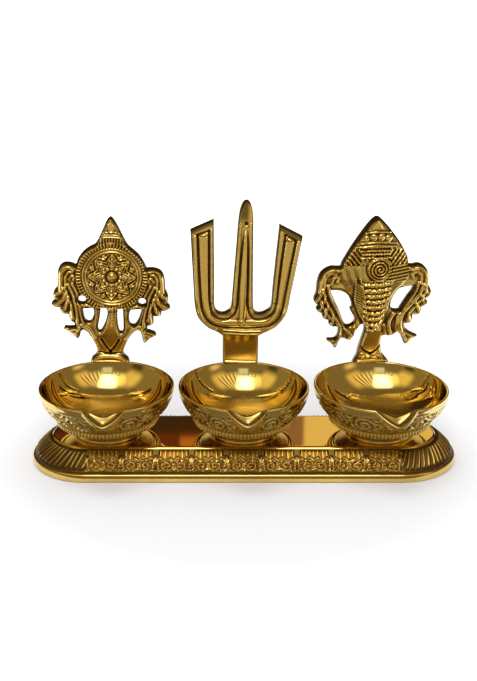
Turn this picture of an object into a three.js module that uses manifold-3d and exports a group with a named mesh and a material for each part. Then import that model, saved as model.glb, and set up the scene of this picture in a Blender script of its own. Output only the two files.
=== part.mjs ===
// Brass oil lamp set: three round lamps with pouring lips stand in a row on one long moulded
// stand, and each lamp carries a cast emblem plate behind its rim: a wheel, a three-pronged
// mark and a conch. Millimetres, +X to the right, +Y to the back, +Z up, and the origin on
// the table at the middle of the overall box.
import * as THREE from 'three';
import Module from 'manifold-3d';
import { mergeVertices } from 'three/addons/utils/BufferGeometryUtils.js';

const wasm = await Module();
wasm.setup();

// Stand
const STAND_LENGTH = 231;
const STAND_DEPTH = 64.4;
const STAND_HEIGHT = 15.4;
const STAND_WALL = 3;
const PLATEAU_DEPTH = 40;
const PLATEAU_ROUND = 0.8;
const BAND_HEIGHT = 5.3;
const BAND_GROOVE = 0.7;
const SKIRT_BULGE = 0.6;

// Lamps
const LAMP_SPACING = 73.8;
const SIDE_RIM_RADIUS = 36.3;
const CENTRE_RIM_RADIUS = 35.2;
const LAMP_HEIGHT = 26.8;
const LAMP_WALL = 1.8;
const LAMP_FLOOR = 6.2;
const WELL_RADIUS = 12;
const WELL_RISE = 1.9;
const WELL_PULL = { inward: 7.2, up: 7.5 };
const RIM_BAND = 1.2;
const RIM_CROWN = 0.4;
const SIDE_PULL = { inward: 2.2, down: 11 };
const BEAD_RADIUS = 26.3;
const BEAD_HEIGHT = 8.8;
const BEAD_PROUD = 0.6;
const BEAD_RUN = 1.6;
const BELLY_RADIUS = 23.2;
const BELLY_HEIGHT = 5.7;
const FOOT_RADIUS = 17.8;
const FOOT_WAIST = 1.4;
const FOOT_WALL = 2.4;
const FOOT_DRAFT = 1;
const LIP_REACH = 7.2;
const LIP_DROP = 5.8;
const LIP_EDGE = 1;
const LIP_HALF_ANGLE = 15.5;
const LIP_ROUNDING = 0.22;
const SEAT_GAP = 0.3;

// How far each lamp has been turned on its screw, in degrees, anticlockwise from above
const LEFT_TURN = 3;
const CENTRE_TURN = 3;
const RIGHT_TURN = 7;

// How far each rim was cast out of level, in degrees, low on the right
const LEFT_SLANT = 0.5;
const CENTRE_SLANT = 1.2;
const RIGHT_SLANT = 1.9;

// Emblem plates, and the lug and saddle that hold them behind the rim
const PLATE_THICKNESS = 5.4;
const PLATE_FRONT = 1.6;
const WHEEL_HEIGHT = 84;
const PRONG_HEIGHT = 94;
const CONCH_HEIGHT = 85;
const WHEEL_LEAN = 3.3;
const PRONG_LEAN = 3;
const RELIEF = 1.2;
const GROOVE_DEPTH = 0.9;
const SADDLE_DEPTH = 0.8;
const TAB_WIDTH = 14;
const TAB_RISE = 0.5;
const TAB_DROP = 11;
const TAB_THICKNESS = 1.4;
const LUG_PROUD = 0.3;
const LUG_TOP = 1.6;

// Fixings
const CLEARANCE = 0.3;
const TAB_SCREW_DIAMETER = 2.5;
const TAB_SCREW_HEAD = 4.6;
const TAB_SCREW_HEAD_HEIGHT = 1.5;
const TAB_SCREW_SPACING = 8;
const TAB_SCREW_DROP = 6.4;
const TAB_SCREW_BITE = 2.6;
const TAB_SCREW_SLOT = 0.8;
const FOOT_SCREW_DIAMETER = 4;
const FOOT_SCREW_HEAD = 8;
const FOOT_SCREW_HEAD_HEIGHT = 2.6;
const FOOT_SCREW_BITE = 4;
const FOOT_SCREW_SLOT = 1;
const BOSS_RADIUS = 5.5;
const WASHER_DIAMETER = 10;
const WASHER_THICKNESS = 1;

// Fineness of round forms
const LAMP_SEGMENTS = 36;
const LIP_CROWDING = 0.45;
const STAND_SEGMENTS = 36;
const ROUND_SEGMENTS = 12;
const CURVE_STEPS = 2;
const WELD = 1e-5;

// Longer than any cut is deep, and how far joined bodies run into each other
const CUT = 50;
const OVERLAP = 0.1;

const degrees = THREE.MathUtils.degToRad;

// Joins a geometry's shared corners and drops the triangles that this folds flat
function weld(geometry) {
  const bare = geometry.clone();
  bare.deleteAttribute('normal');
  bare.deleteAttribute('uv');
  const joined = mergeVertices(bare, WELD);
  const corners = joined.index.array;
  const kept = [];
  for (let i = 0; i < corners.length; i += 3) {
    const [a, b, c] = corners.slice(i, i + 3);
    if (a !== b && b !== c && c !== a) kept.push(a, b, c);
  }
  joined.setIndex(kept);
  return joined;
}

function solid(geometry) {
  const welded = weld(geometry);
  const mesh = new wasm.Mesh({
    numProp: 3,
    vertProperties: new Float32Array(welded.attributes.position.array),
    triVerts: new Uint32Array(welded.index.array),
  });
  return new wasm.Manifold(mesh);
}

function geometryOf(body) {
  const mesh = body.getMesh();
  const geometry = new THREE.BufferGeometry();
  geometry.setAttribute('position', new THREE.BufferAttribute(mesh.vertProperties, 3));
  geometry.setIndex(new THREE.BufferAttribute(mesh.triVerts, 1));
  geometry.computeVertexNormals();
  return geometry;
}

function brass(colour, roughness) {
  return new THREE.MeshStandardMaterial({ color: colour, roughness, metalness: 1 });
}

function piece(name, body, material) {
  const mesh = new THREE.Mesh(geometryOf(body), material);
  mesh.name = name;
  return mesh;
}

// A solid of revolution about Z from [radius, height] pairs, its first column towards -Y
function turned(profile, segments) {
  const points = profile.map(([radius, height]) => new THREE.Vector2(radius, height));
  return new THREE.LatheGeometry(points, segments).rotateX(Math.PI / 2);
}

function bar(width, depth, height, x, y, z) {
  return solid(new THREE.BoxGeometry(width, depth, height).translate(x, y, z));
}

function rod(diameter, from, to) {
  const radius = diameter / 2;
  return solid(turned([[0, from], [radius, from], [radius, to], [0, to]], ROUND_SEGMENTS));
}

// Sweeps a half section round a long plan with two half-round ends
function stadium(section, spine) {
  const end = turned(section, STAND_SEGMENTS);
  const left = solid(end.clone().translate(-spine, 0, 0));
  const right = solid(end.clone().translate(spine, 0, 0));
  const across = new THREE.Shape([
    ...section.map(([radius, height]) => new THREE.Vector2(radius, height)),
    ...section.slice(1, -1).reverse().map(([radius, height]) => new THREE.Vector2(-radius, height)),
  ]);
  const middle = new THREE.ExtrudeGeometry(across, { depth: 2 * spine, bevelEnabled: false });
  middle.translate(0, 0, -spine).rotateX(Math.PI / 2).rotateZ(Math.PI / 2);
  return left.add(right).add(solid(middle));
}

// Points along a bent line, from start to end, drawn towards a pull point
function bend(start, pull, end, steps) {
  const [a, b, c] = [start, pull, end].map(([x, y]) => new THREE.Vector2(x, y));
  const curve = new THREE.QuadraticBezierCurve(a, b, c);
  return curve.getPoints(steps).map((point) => [point.x, point.y]);
}

// The stand is one hollow casting: a plain grooved band, a sloping skirt and a flat top
function makeStand() {
  const edge = STAND_DEPTH / 2;
  const top = PLATEAU_DEPTH / 2;
  const spine = STAND_LENGTH / 2 - edge;
  const shoulder = [edge - 2 * BAND_GROOVE, BAND_HEIGHT];
  const brow = [top + PLATEAU_ROUND, STAND_HEIGHT - PLATEAU_ROUND];
  const pull = [
    (shoulder[0] + brow[0]) / 2 + SKIRT_BULGE,
    (shoulder[1] + brow[1]) / 2 + SKIRT_BULGE,
  ];
  const groove = BAND_HEIGHT - 3 * BAND_GROOVE;
  const outside = [
    [0, 0],
    [edge - BAND_GROOVE, 0],
    [edge, BAND_GROOVE],
    [edge, groove],
    [edge - BAND_GROOVE, groove + BAND_GROOVE],
    [edge - BAND_GROOVE / 2, BAND_HEIGHT],
    ...bend(shoulder, pull, brow, 4),
    [top + PLATEAU_ROUND / 3, STAND_HEIGHT - PLATEAU_ROUND / 4],
    [top - PLATEAU_ROUND / 2, STAND_HEIGHT],
    [0, STAND_HEIGHT],
  ];
  const ceiling = STAND_HEIGHT - STAND_WALL;
  const inside = [
    [0, -CUT],
    [edge - STAND_WALL, -CUT],
    [edge - STAND_WALL, BAND_HEIGHT - STAND_WALL / 2],
    [top - STAND_WALL / 2, ceiling],
    [0, ceiling],
  ];
  const hole = rod(FOOT_SCREW_DIAMETER + 2 * CLEARANCE, 0, CUT);
  let body = stadium(outside, spine).subtract(stadium(inside, spine));
  for (const place of [-1, 0, 1]) {
    body = body.subtract(hole.translate([place * LAMP_SPACING, 0, 0]));
  }
  return piece('stand', body, brass(0xb98a2e, 0.22));
}

// How much of the pouring lip there is at an angle from its middle: a V with a rounded point
function lipShare(angle, halfAngle) {
  const spread = Math.min(Math.abs(angle) / halfAngle, 1);
  const fall = Math.hypot(spread, LIP_ROUNDING) - LIP_ROUNDING;
  return 1 - fall / (Math.hypot(1, LIP_ROUNDING) - LIP_ROUNDING);
}

// The smooth inside of a lamp, from the edge of its flat floor to just under the rim
function innerWall(rim) {
  const start = [WELL_RADIUS, LAMP_FLOOR + WELL_RISE];
  const pull = [rim - WELL_PULL.inward, LAMP_FLOOR + WELL_PULL.up];
  return bend(start, pull, [rim - LAMP_WALL - RIM_CROWN, LAMP_HEIGHT - 3 * RIM_BAND], 5);
}

// The outside, from under the rim band down to the bead row
function outerWall(rim) {
  const start = [rim, LAMP_HEIGHT - RIM_BAND];
  const pull = [rim - SIDE_PULL.inward, LAMP_HEIGHT - SIDE_PULL.down];
  return bend(start, pull, [BEAD_RADIUS + RIM_CROWN, BEAD_HEIGHT + BEAD_RUN], 6);
}

// One lamp's half section, from the middle of its floor over the rim and down to the screw
// hole in its boss. Each point is [radius, height, reach, drop, width]: how far the lip takes
// it out and down, and the share of the lip's half angle over which it does.
function lampSection(rim) {
  const top = LAMP_HEIGHT;
  const wallFoot = BEAD_HEIGHT + BEAD_RUN;
  const outer = outerWall(rim).map(([radius, height]) => {
    const rise = (height - wallFoot) / (top - RIM_BAND - wallFoot);
    const share = THREE.MathUtils.clamp(rise, 0, 1);
    return [radius, height, LIP_REACH * share ** 1.2, LIP_DROP * share ** 2, 0.35 + 0.65 * share];
  });
  const still = (points) => points.map(([radius, height]) => [radius, height, 0, 0, 1]);
  const holeRadius = FOOT_SCREW_DIAMETER / 2 + CLEARANCE;
  const holeTop = FOOT_SCREW_BITE + CLEARANCE;
  const recess = LAMP_FLOOR - LAMP_WALL - RIM_CROWN;
  return [
    ...still([[0, LAMP_FLOOR], ...innerWall(rim)]),
    [rim - LAMP_WALL, top - RIM_CROWN, 0, LIP_EDGE, 1],
    [rim - LAMP_WALL * 0.6, top, LIP_REACH - LIP_EDGE, LIP_DROP + LIP_EDGE, 1],
    [rim - RIM_CROWN, top, LIP_REACH - RIM_CROWN, LIP_DROP, 1],
    ...outer,
    ...still([
      [BEAD_RADIUS + BEAD_PROUD, BEAD_HEIGHT],
      [BEAD_RADIUS - 2 * BEAD_PROUD, BEAD_HEIGHT - BEAD_RUN],
      [BELLY_RADIUS, BELLY_HEIGHT],
      [FOOT_RADIUS - FOOT_WAIST, FOOT_WAIST * 2],
      [FOOT_RADIUS, FOOT_WAIST],
      [FOOT_RADIUS, 0],
      [FOOT_RADIUS - FOOT_WALL, 0],
      [FOOT_RADIUS - FOOT_WALL - FOOT_DRAFT, recess],
      [BOSS_RADIUS, recess],
      [BOSS_RADIUS, 0],
      [holeRadius, 0],
      [holeRadius, holeTop],
      [0, holeTop],
    ]),
  ];
}

// A turned lamp whose columns crowd towards the front, where the lip pulls the wall out
function lampBody(rim) {
  const section = lampSection(rim).reverse();
  const geometry = turned(section, LAMP_SEGMENTS);
  const place = geometry.attributes.position;
  for (let i = 0; i < place.count; i += 1) {
    const column = Math.floor(i / section.length);
    const [radius, height, reach, drop, width] = section[i % section.length];
    const even = (2 * Math.PI * column) / LAMP_SEGMENTS;
    const angle = even - LIP_CROWDING * Math.sin(even);
    const turn = Math.atan2(Math.sin(angle), Math.cos(angle));
    const share = lipShare(turn, degrees(LIP_HALF_ANGLE) * width);
    const out = radius + reach * share;
    place.setXYZ(i, out * Math.sin(turn), -out * Math.cos(turn), height - drop * share);
  }
  return solid(geometry);
}

function tabScrewPlaces() {
  return [-TAB_SCREW_SPACING / 2, TAB_SCREW_SPACING / 2];
}

// A hole or shank along Y, behind the rim, from one depth to another
function alongY(diameter, from, to, x) {
  const radius = diameter / 2;
  const shape = turned([[0, -to], [radius, -to], [radius, -from], [0, -from]], ROUND_SEGMENTS);
  return solid(shape.rotateX(Math.PI / 2).translate(x, 0, LAMP_HEIGHT - TAB_SCREW_DROP));
}

// Where the lug, the tab behind it and the plate's back lie, measured from the lamp's middle
function backDepths(rim) {
  const lug = rim + LUG_PROUD;
  const tab = lug + CLEARANCE;
  const plate = rim - LAMP_WALL - PLATE_FRONT + PLATE_THICKNESS;
  return { lug, tab, plate: Math.max(plate, tab + TAB_THICKNESS) };
}

// Tips a body's upper parts as the rim is tipped, and leaves its foot level
function slanted(body, slant) {
  const slope = Math.tan(degrees(slant)) / LAMP_HEIGHT;
  return body.warp((point) => {
    point[2] -= slope * point[0] * point[2];
  });
}

// The bowl has a lug cast on behind the rim, whose front keeps inside the metal of the wall
function makeBowl(name, rim, slant) {
  const { lug } = backDepths(rim);
  const height = TAB_DROP - LUG_TOP;
  const middle = LAMP_HEIGHT - LUG_TOP - height / 2;
  const block = bar(TAB_WIDTH, lug, height, 0, lug / 2, middle);
  const half = LAMP_WALL / 2;
  const core = innerWall(rim).map(([radius, z]) => [radius + half, z]);
  const [reach] = core.at(-1);
  const plug = turned([[0, core[0][1]], ...core, [reach, CUT], [0, CUT]], LAMP_SEGMENTS);
  let body = slanted(lampBody(rim).add(block.subtract(solid(plug))), slant);
  for (const x of tabScrewPlaces()) {
    const deep = lug - TAB_SCREW_BITE - CLEARANCE;
    body = body.subtract(alongY(TAB_SCREW_DIAMETER + 2 * CLEARANCE, deep, CUT, x));
  }
  return piece(name, body, brass(0xc9982f, 0.18));
}

// A closed outline from runs of points: each run is a smooth curve that starts where the
// last one ended, and the runs meet at corners. The points are on a grid of one unit.
function outline(runs, unit) {
  const points = [];
  let start = runs[runs.length - 1].at(-1);
  for (const run of runs) {
    const nodes = [start, ...run].map(([u, v]) => new THREE.Vector2(u * unit, v * unit));
    const smooth = nodes.length > 2;
    const curve = smooth ? new THREE.SplineCurve(nodes) : new THREE.LineCurve(...nodes);
    const steps = smooth ? CURVE_STEPS * (nodes.length - 1) : 1;
    points.push(...curve.getPoints(steps).slice(1));
    start = run.at(-1);
  }
  return points;
}

// Lays a drawing out as a slab that stands up: depth runs from the back, at y = 0, forwards
function slab(points, holes, back, front) {
  const clockwise = THREE.ShapeUtils.isClockWise(points);
  const shape = new THREE.Shape(clockwise ? points.slice().reverse() : points);
  shape.holes = holes.map((hole) => new THREE.Path(hole));
  const depth = front - back;
  const geometry = new THREE.ExtrudeGeometry(shape, { depth, bevelEnabled: false });
  return solid(geometry.translate(0, 0, back).rotateX(Math.PI / 2));
}

// A round relief on the face, from [radius, rise] pairs that start on its middle
function rosette(section, u, v) {
  const [reach] = section.at(-1);
  const profile = [[0, -RELIEF], [reach, -RELIEF], ...section.slice().reverse()];
  const shape = turned(profile, 2 * ROUND_SEGMENTS).rotateX(Math.PI / 2);
  return solid(shape.translate(u, -PLATE_THICKNESS, v));
}

// A groove or a rib along a smooth line on the face: its plan is a band of even width
function band(line, width, unit, back, front) {
  const nodes = line.map(([u, v]) => new THREE.Vector2(u * unit, v * unit));
  const curve = new THREE.SplineCurve(nodes);
  const steps = CURVE_STEPS * (nodes.length - 1);
  const sides = [[], []];
  for (let i = 0; i <= steps; i += 1) {
    const point = curve.getPoint(i / steps);
    const along = curve.getTangent(i / steps);
    const across = new THREE.Vector2(-along.y, along.x).multiplyScalar(width / 2);
    sides[0].push(point.clone().add(across));
    sides[1].unshift(point.clone().sub(across));
  }
  return slab([...sides[0], ...sides[1]], [], back, front);
}

function roundHole(u, v, radius, unit) {
  const hole = new THREE.Path().absarc(u * unit, v * unit, radius * unit, 0, 2 * Math.PI);
  return hole.getPoints(ROUND_SEGMENTS / 2).slice(1);
}

// The wheel plate: a round disc under a pointed flame, with a draped ribbon on each side
function wheelFace() {
  const unit = WHEEL_HEIGHT / 84;
  const edge = outline([
    [[-10.6, 0.6]],
    [[-10, 2], [-8.3, 3.6], [-7.3, 5.2], [-7.4, 7.2], [-8.3, 9.8], [-10, 13], [-12, 16.2],
      [-14, 18], [-15.6, 18.3], [-16.8, 17]],
    [[-17, 14.9], [-18, 13.3], [-19.4, 13.8], [-21.4, 16], [-23.8, 17.5], [-26, 18.7]],
    [[-25.4, 19.8], [-22.8, 19.8], [-19.8, 20.2]],
    [[-20.3, 22.4], [-22.2, 23.7], [-23, 25.4], [-22.8, 27.1]],
    [[-24.6, 27.4], [-26.8, 27.9], [-28, 29.4], [-28.1, 31.1]],
    [[-30.4, 31.2], [-32.4, 31.9], [-32.8, 33.4], [-31.8, 34.6], [-30.2, 35.4]],
    [[-31.6, 37], [-31.9, 38.9], [-31.2, 41], [-29.6, 42.8]],
    [[-29.3, 45.8], [-29.5, 49.8], [-29.1, 53.2], [-27.6, 55.7], [-25.2, 56.9], [-22.2, 56.8],
      [-19.6, 55.8]],
    [[-18.3, 59.6], [-15.5, 63.6], [-12.3, 66.2], [-9.3, 67.9]],
    [[-7.8, 70.4], [-5.7, 75.2], [-3.8, 80], [-2.4, 82.5], [-1, 83.4], [0.4, 82.3], [2.4, 79.4],
      [5, 74.6], [7.2, 70.3], [8.9, 67.8]],
    [[11.8, 65.4], [14.8, 62.7], [17.3, 59.2], [19.2, 55.4]],
    [[21.5, 55.7], [24, 55.5], [26.6, 54.5], [28.4, 52.3], [29.3, 49], [29.6, 45.6],
      [29.8, 43.6]],
    [[31.1, 41.2], [31.6, 39], [31.2, 36.8], [30.9, 35.8]],
    [[32.6, 34.1], [32.6, 32.8], [31, 31.7], [29.2, 31.2], [27.7, 31]],
    [[28, 29.2], [27, 28.1], [25, 27.9], [23.3, 28.1]],
    [[23.8, 25.6], [23.6, 23.7], [22.2, 22.5], [20.7, 22.4]],
    [[20.3, 19.8], [22.4, 19], [24.8, 18.1], [25.6, 16.8]],
    [[23.6, 15.5], [21.4, 14.1], [20, 12.3], [18.7, 12], [18, 13.6], [17.5, 16.2],
      [16.4, 18.9]],
    [[15, 19.3], [13.3, 18.4], [11, 15.7], [9.3, 12.4], [8, 9], [7.4, 6.8], [7.5, 5.1],
      [8.6, 3.6], [10.3, 2.1], [10.9, 0.6]],
    [[10.9, -2]],
    [[-10.6, -2]],
  ], unit);
  const slots = [
    [[[-9.9, 31.4]], [[-9.4, 28.2], [-10.4, 24.9], [-11.8, 23.3], [-13.7, 23.9], [-14.9, 26.6],
      [-15.7, 31]]],
    [[[-2.2, 31.5]], [[-2, 28], [-3, 23.5], [-4.6, 19.8], [-5.9, 18], [-7, 19.2], [-6.9, 22],
      [-6.1, 27], [-5.8, 31.7]]],
    [[[6.5, 31.6]], [[6.8, 27], [7.1, 21], [7.1, 19.2], [6, 17.8], [4.9, 18.6], [4, 22],
      [3.5, 27], [3.7, 31.2]]],
    [[[16.9, 31.9]], [[16.4, 29], [15, 25], [13, 22.3], [11, 22.9], [10.1, 25.4], [10.2, 28.5],
      [10.9, 31.2]]],
  ].map((runs) => outline(runs, unit));
  slots.push(roundHole(-16, 36.4, 2.1, unit), roundHole(17.1, 36.2, 2.1, unit));
  const disc = [
    [0, 1.5], [1.8, 1.3], [2.6, 0.5], [3.4, 1.1], [4.8, 1.1], [5.4, 0.2], [14.4, 0.2],
    [15, 1.2], [16.2, 1.2], [16.8, 0.4], [17.4, 0.8], [19.2, 0.7], [19.8, -0.3],
  ].map(([radius, rise]) => [radius * unit, rise * RELIEF]);
  return slab(edge, slots, 0, PLATE_THICKNESS).add(rosette(disc, 0.2 * unit, 50.2 * unit));
}

// The three-pronged mark: a U with slanted ends round a pointed middle prong, on a plain
// stem. Two grooves run along each prong and leave a rib between them and a rim outside.
function prongFace() {
  const unit = PRONG_HEIGHT / 94;
  const edge = outline([
    [[-10.9, 15.8]],
    [[-14.2, 18], [-18.6, 19.9], [-22.2, 22.7], [-24.9, 26], [-26.6, 30.3], [-27.6, 36]],
    [[-31.2, 75.5]],
    [[-18.7, 81.7]],
    [[-17.9, 65], [-17.2, 50], [-16.7, 37]],
    [[-16, 32.2], [-14.2, 29.7], [-12, 28.9], [-9.8, 29.5], [-7.6, 31.5], [-6.9, 34.8]],
    [[-6.5, 50], [-6, 65], [-5.6, 80]],
    [[-5, 87.2], [-3.5, 91.4], [-1.5, 92.9], [0.4, 91.8], [1.8, 88.4], [2.6, 83.6]],
    [[3.4, 65], [4.2, 48], [4.9, 35]],
    [[5.6, 31.6], [7.4, 29.7], [9.6, 29.6], [12.4, 30.8], [14.6, 33], [15.2, 36.7]],
    [[15.3, 45], [15.8, 58], [16.8, 80.4]],
    [[29.9, 74.2]],
    [[28.4, 63], [27, 52], [25.6, 42], [24.7, 34.5], [23.6, 29.5], [21.4, 25.6], [18.4, 22],
      [15, 19.8], [11.5, 18], [9, 16.4]],
    [[9.5, -2]],
    [[-10, -2]],
  ], unit);
  const grooves = [
    [[-27.4, 74], [-25.6, 55], [-23.9, 38], [-22.8, 31], [-20.4, 26], [-16.4, 22.6],
      [-10, 21.4], [0, 21.6], [9, 21.9], [15.4, 23.6], [19.4, 27.4], [21.2, 33], [22.4, 42],
      [24.4, 58], [25.8, 72]],
    [[-20.8, 76], [-20.4, 60], [-19.8, 45], [-19.2, 36], [-17.8, 29.6], [-14.6, 26.4],
      [-11, 25.6], [-7.2, 26.8], [-4.6, 30], [-3.7, 36], [-3.4, 50], [-2.8, 65], [-2, 82]],
    [[20, 75], [19.2, 60], [18.4, 46], [18, 37], [16.6, 31], [13.4, 27.6], [9, 26.4],
      [5, 27.2], [2.6, 31], [1.6, 38], [1.2, 50], [0.4, 65], [-0.6, 82]],
  ];
  const face = PLATE_THICKNESS;
  let body = slab(edge, [], 0, face);
  for (const line of grooves) {
    body = body.subtract(band(line, 1.7 * unit, unit, face - GROOVE_DEPTH, CUT));
  }
  return body;
}

// The conch plate: a banded shell, point up, between two draped ribbons
function conchFace() {
  const unit = CONCH_HEIGHT / 85;
  const edge = outline([
    [[-8, 0.4]],
    [[-6.9, 2.6], [-6, 4.6], [-5.4, 8], [-4.6, 11], [-3.7, 14.2], [-2.5, 18.5], [-2.4, 21.2],
      [-3.4, 22.4], [-4.8, 22.2], [-6.2, 20.2], [-7.6, 18.2], [-8.2, 16]],
    [[-9.9, 13.8], [-11.5, 13.6], [-13.3, 14.4], [-15.2, 15.1]],
    [[-16.4, 13.6], [-17.4, 11.2], [-18.2, 9.5], [-19.2, 9.4], [-20.1, 11], [-21.6, 12.4],
      [-23.4, 13.6]],
    [[-22.8, 14.6], [-20.8, 14.5], [-18.8, 14.8], [-17.6, 16.5], [-17, 19.1], [-17.2, 21.3]],
    [[-18.8, 21.8], [-20.8, 21.9], [-22.3, 23.1], [-22.6, 24.7], [-22, 25.9]],
    [[-24.2, 26.1], [-25.8, 27.1], [-26.4, 28.7], [-26, 30.1]],
    [[-27.8, 30.3], [-29.2, 31.4], [-29.8, 32.7], [-28.4, 34.5]],
    [[-30.2, 35.7], [-31.2, 37.3], [-31.2, 39.2], [-30.2, 41.7], [-29.9, 45.4], [-29.5, 48.9],
      [-28.6, 51.6], [-27, 53.9], [-24.6, 55.6], [-21.6, 56.6], [-19, 56.4], [-16.8, 56.4]],
    [[-16.1, 58.6], [-13.6, 63.1], [-10.6, 68.1], [-7.2, 73.1], [-3.8, 77.9], [-0.9, 81.4],
      [1, 83.1], [2.8, 83.7], [4.8, 82.6], [8.8, 78.4], [11.5, 75], [14.4, 71.2], [17, 67.2],
      [19.2, 63.2], [20.6, 60], [21, 56.6]],
    [[23.4, 56.2], [26.2, 56.7], [29.2, 55.8], [31.6, 53.4], [32.8, 50.4], [33.2, 47.4],
      [33, 44.6]],
    [[34.3, 42], [35, 39.6], [34.3, 37.7], [32.6, 36.7], [31.4, 36]],
    [[33, 34.6], [32.8, 33], [31.2, 31.9], [29.2, 31]],
    [[29.8, 29.2], [29, 27.6], [27, 26.8], [24.8, 26.8]],
    [[25, 24.6], [24, 22.7], [22, 22.1], [20.4, 22]],
    [[21.2, 19.4], [23.4, 17.2], [26, 15.6], [28.2, 14.6]],
    [[27, 13.5], [25, 12.6], [23.7, 10.9], [22.2, 9.9], [20.9, 10.1], [20, 12.6],
      [18.6, 15.3], [16.9, 16.9], [15.6, 16.6]],
    [[14.2, 15.5], [12.2, 15.1], [10, 15.4], [7.9, 15.2]],
    [[7.4, 12.4], [7.4, 9.6], [7.8, 6.6], [8.6, 4.6], [10.4, 2.3], [12, 0.3]],
    [[12.4, -2]],
    [[-8.4, -2]],
  ], unit);
  const gaps = [
    [[[-16.8, 42.6], [-13, 40.5], [-10.7, 37], [-9.9, 33.5], [-10.8, 31.6], [-9.4, 28.8],
      [-8, 26.2], [-8.4, 23.9], [-10.2, 22.4], [-12.2, 22.2], [-13.8, 23.6], [-15.4, 27.4],
      [-17.4, 32.4], [-19.8, 37.4], [-22.2, 43]]],
    [[[20.6, 43.7], [16.6, 42.6], [14, 39.4], [12.4, 35.6], [12.2, 31.8], [14.4, 30.4],
      [16.8, 30.2]], [[18.5, 33.2], [21, 37.2], [23.2, 40.4], [24.8, 44.3]]],
  ].map((runs) => outline(runs, unit));
  const shell = [
    [0, 20], [4.2, 20.6], [6.2, 28], [9.2, 37], [13.6, 46], [19.4, 55], [18, 60], [14, 67],
    [11.4, 71], [10.4, 73.4], [6.6, 77], [3.2, 81], [0, 83],
  ].map(([radius, height]) => [radius * unit, height * unit]);
  const swell = 0.17;
  const sunk = 0.6;
  const cone = turned(shell, 2 * ROUND_SEGMENTS).scale(1, swell, 1);
  const boss = [
    [0, 4.8], [1.8, 4.6], [2.6, 3.8], [3.4, 4.4], [4.6, 4.3], [5.4, 3.6], [6.6, 3.8], [7.4, 2.2],
  ].map(([radius, rise]) => [radius * unit, rise]);
  const behind = bar(CUT * 2, CUT, CUT * 4, 0, CUT / 2, 0);
  const body = solid(cone.translate(1.9 * unit, sunk - PLATE_THICKNESS, 0)).subtract(behind);
  return slab(edge, gaps, 0, PLATE_THICKNESS).add(body)
    .add(rosette(boss, 3.9 * unit, 55.4 * unit));
}

// Leans a face, stands it astride the rim and gives it the tab that the screws go through
function makePlate(name, face, rim, lean, slant) {
  const { tab, plate } = backDepths(rim);
  const turn = new THREE.Matrix4().makeRotationY(degrees(lean));
  turn.setPosition(0, plate, LAMP_HEIGHT);
  const below = bar(CUT * 2, CUT * 4, CUT, 0, 0, LAMP_HEIGHT - SADDLE_DEPTH - CUT / 2);
  const depth = plate - tab;
  const height = TAB_DROP + TAB_RISE;
  const middle = LAMP_HEIGHT + TAB_RISE - height / 2;
  const strap = bar(TAB_WIDTH, depth, height, 0, plate - depth / 2, middle);
  const inner = rim - LAMP_WALL - 2 * CLEARANCE;
  const outer = rim + CLEARANCE;
  const top = LAMP_HEIGHT + CLEARANCE;
  const slot = turned([[inner, 0], [outer, 0], [outer, top], [inner, top], [inner, 0]],
    LAMP_SEGMENTS);
  let body = face.transform(turn.toArray()).subtract(below).add(strap);
  body = body.subtract(slanted(solid(slot), slant));
  for (const x of tabScrewPlaces()) {
    body = body.subtract(alongY(TAB_SCREW_DIAMETER + 2 * CLEARANCE, 0, CUT * 2, x));
  }
  return piece(name, body, brass(0xb58a35, 0.35));
}

function makeTabScrew(name, rim, x) {
  const { lug, plate } = backDepths(rim);
  const seat = plate + CLEARANCE;
  const end = seat + TAB_SCREW_HEAD_HEIGHT;
  const shank = alongY(TAB_SCREW_DIAMETER, lug - TAB_SCREW_BITE, seat + OVERLAP, x);
  const head = alongY(TAB_SCREW_HEAD, seat, end, x);
  const level = LAMP_HEIGHT - TAB_SCREW_DROP;
  const slot = bar(TAB_SCREW_HEAD * 2, TAB_SCREW_SLOT, TAB_SCREW_SLOT, x, end, level);
  return piece(name, shank.add(head).subtract(slot), brass(0xa98238, 0.3));
}

// Heights here are from the stand's top face, where the lamp's foot stands
function makeFootFixings(side) {
  const under = -STAND_WALL - SEAT_GAP - CLEARANCE;
  const washerFoot = under - WASHER_THICKNESS;
  const bore = FOOT_SCREW_DIAMETER / 2 + CLEARANCE;
  const edge = WASHER_DIAMETER / 2;
  const washer = solid(turned(
    [[bore, washerFoot], [edge, washerFoot], [edge, under], [bore, under], [bore, washerFoot]],
    ROUND_SEGMENTS,
  ));
  const headTop = washerFoot - CLEARANCE;
  const headFoot = headTop - FOOT_SCREW_HEAD_HEIGHT;
  const shank = rod(FOOT_SCREW_DIAMETER, headTop - OVERLAP, FOOT_SCREW_BITE);
  const head = rod(FOOT_SCREW_HEAD, headFoot, headTop);
  const slot = bar(FOOT_SCREW_HEAD * 2, FOOT_SCREW_SLOT, FOOT_SCREW_SLOT * 2, 0, 0, headFoot);
  return [
    piece(`${side}_foot_washer`, washer, brass(0x9c8a5a, 0.35)),
    piece(`${side}_foot_screw`, shank.add(head).subtract(slot), brass(0xa98238, 0.3)),
  ];
}

// One lamp with its plate and fixings, standing on the stand and turned on its screw
function makeLamp(side, plateName, face, { rim, lean, slant, place, turn }) {
  const lamp = new THREE.Group();
  lamp.add(makeBowl(`${side}_bowl`, rim, slant));
  lamp.add(makePlate(plateName, face, rim, lean, slant));
  const [a, b] = tabScrewPlaces();
  lamp.add(makeTabScrew(`${side}_tab_screw_a`, rim, a));
  lamp.add(makeTabScrew(`${side}_tab_screw_b`, rim, b));
  lamp.add(...makeFootFixings(side));
  lamp.position.set(place, 0, STAND_HEIGHT + SEAT_GAP);
  lamp.rotation.z = degrees(turn);
  return lamp;
}

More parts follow.
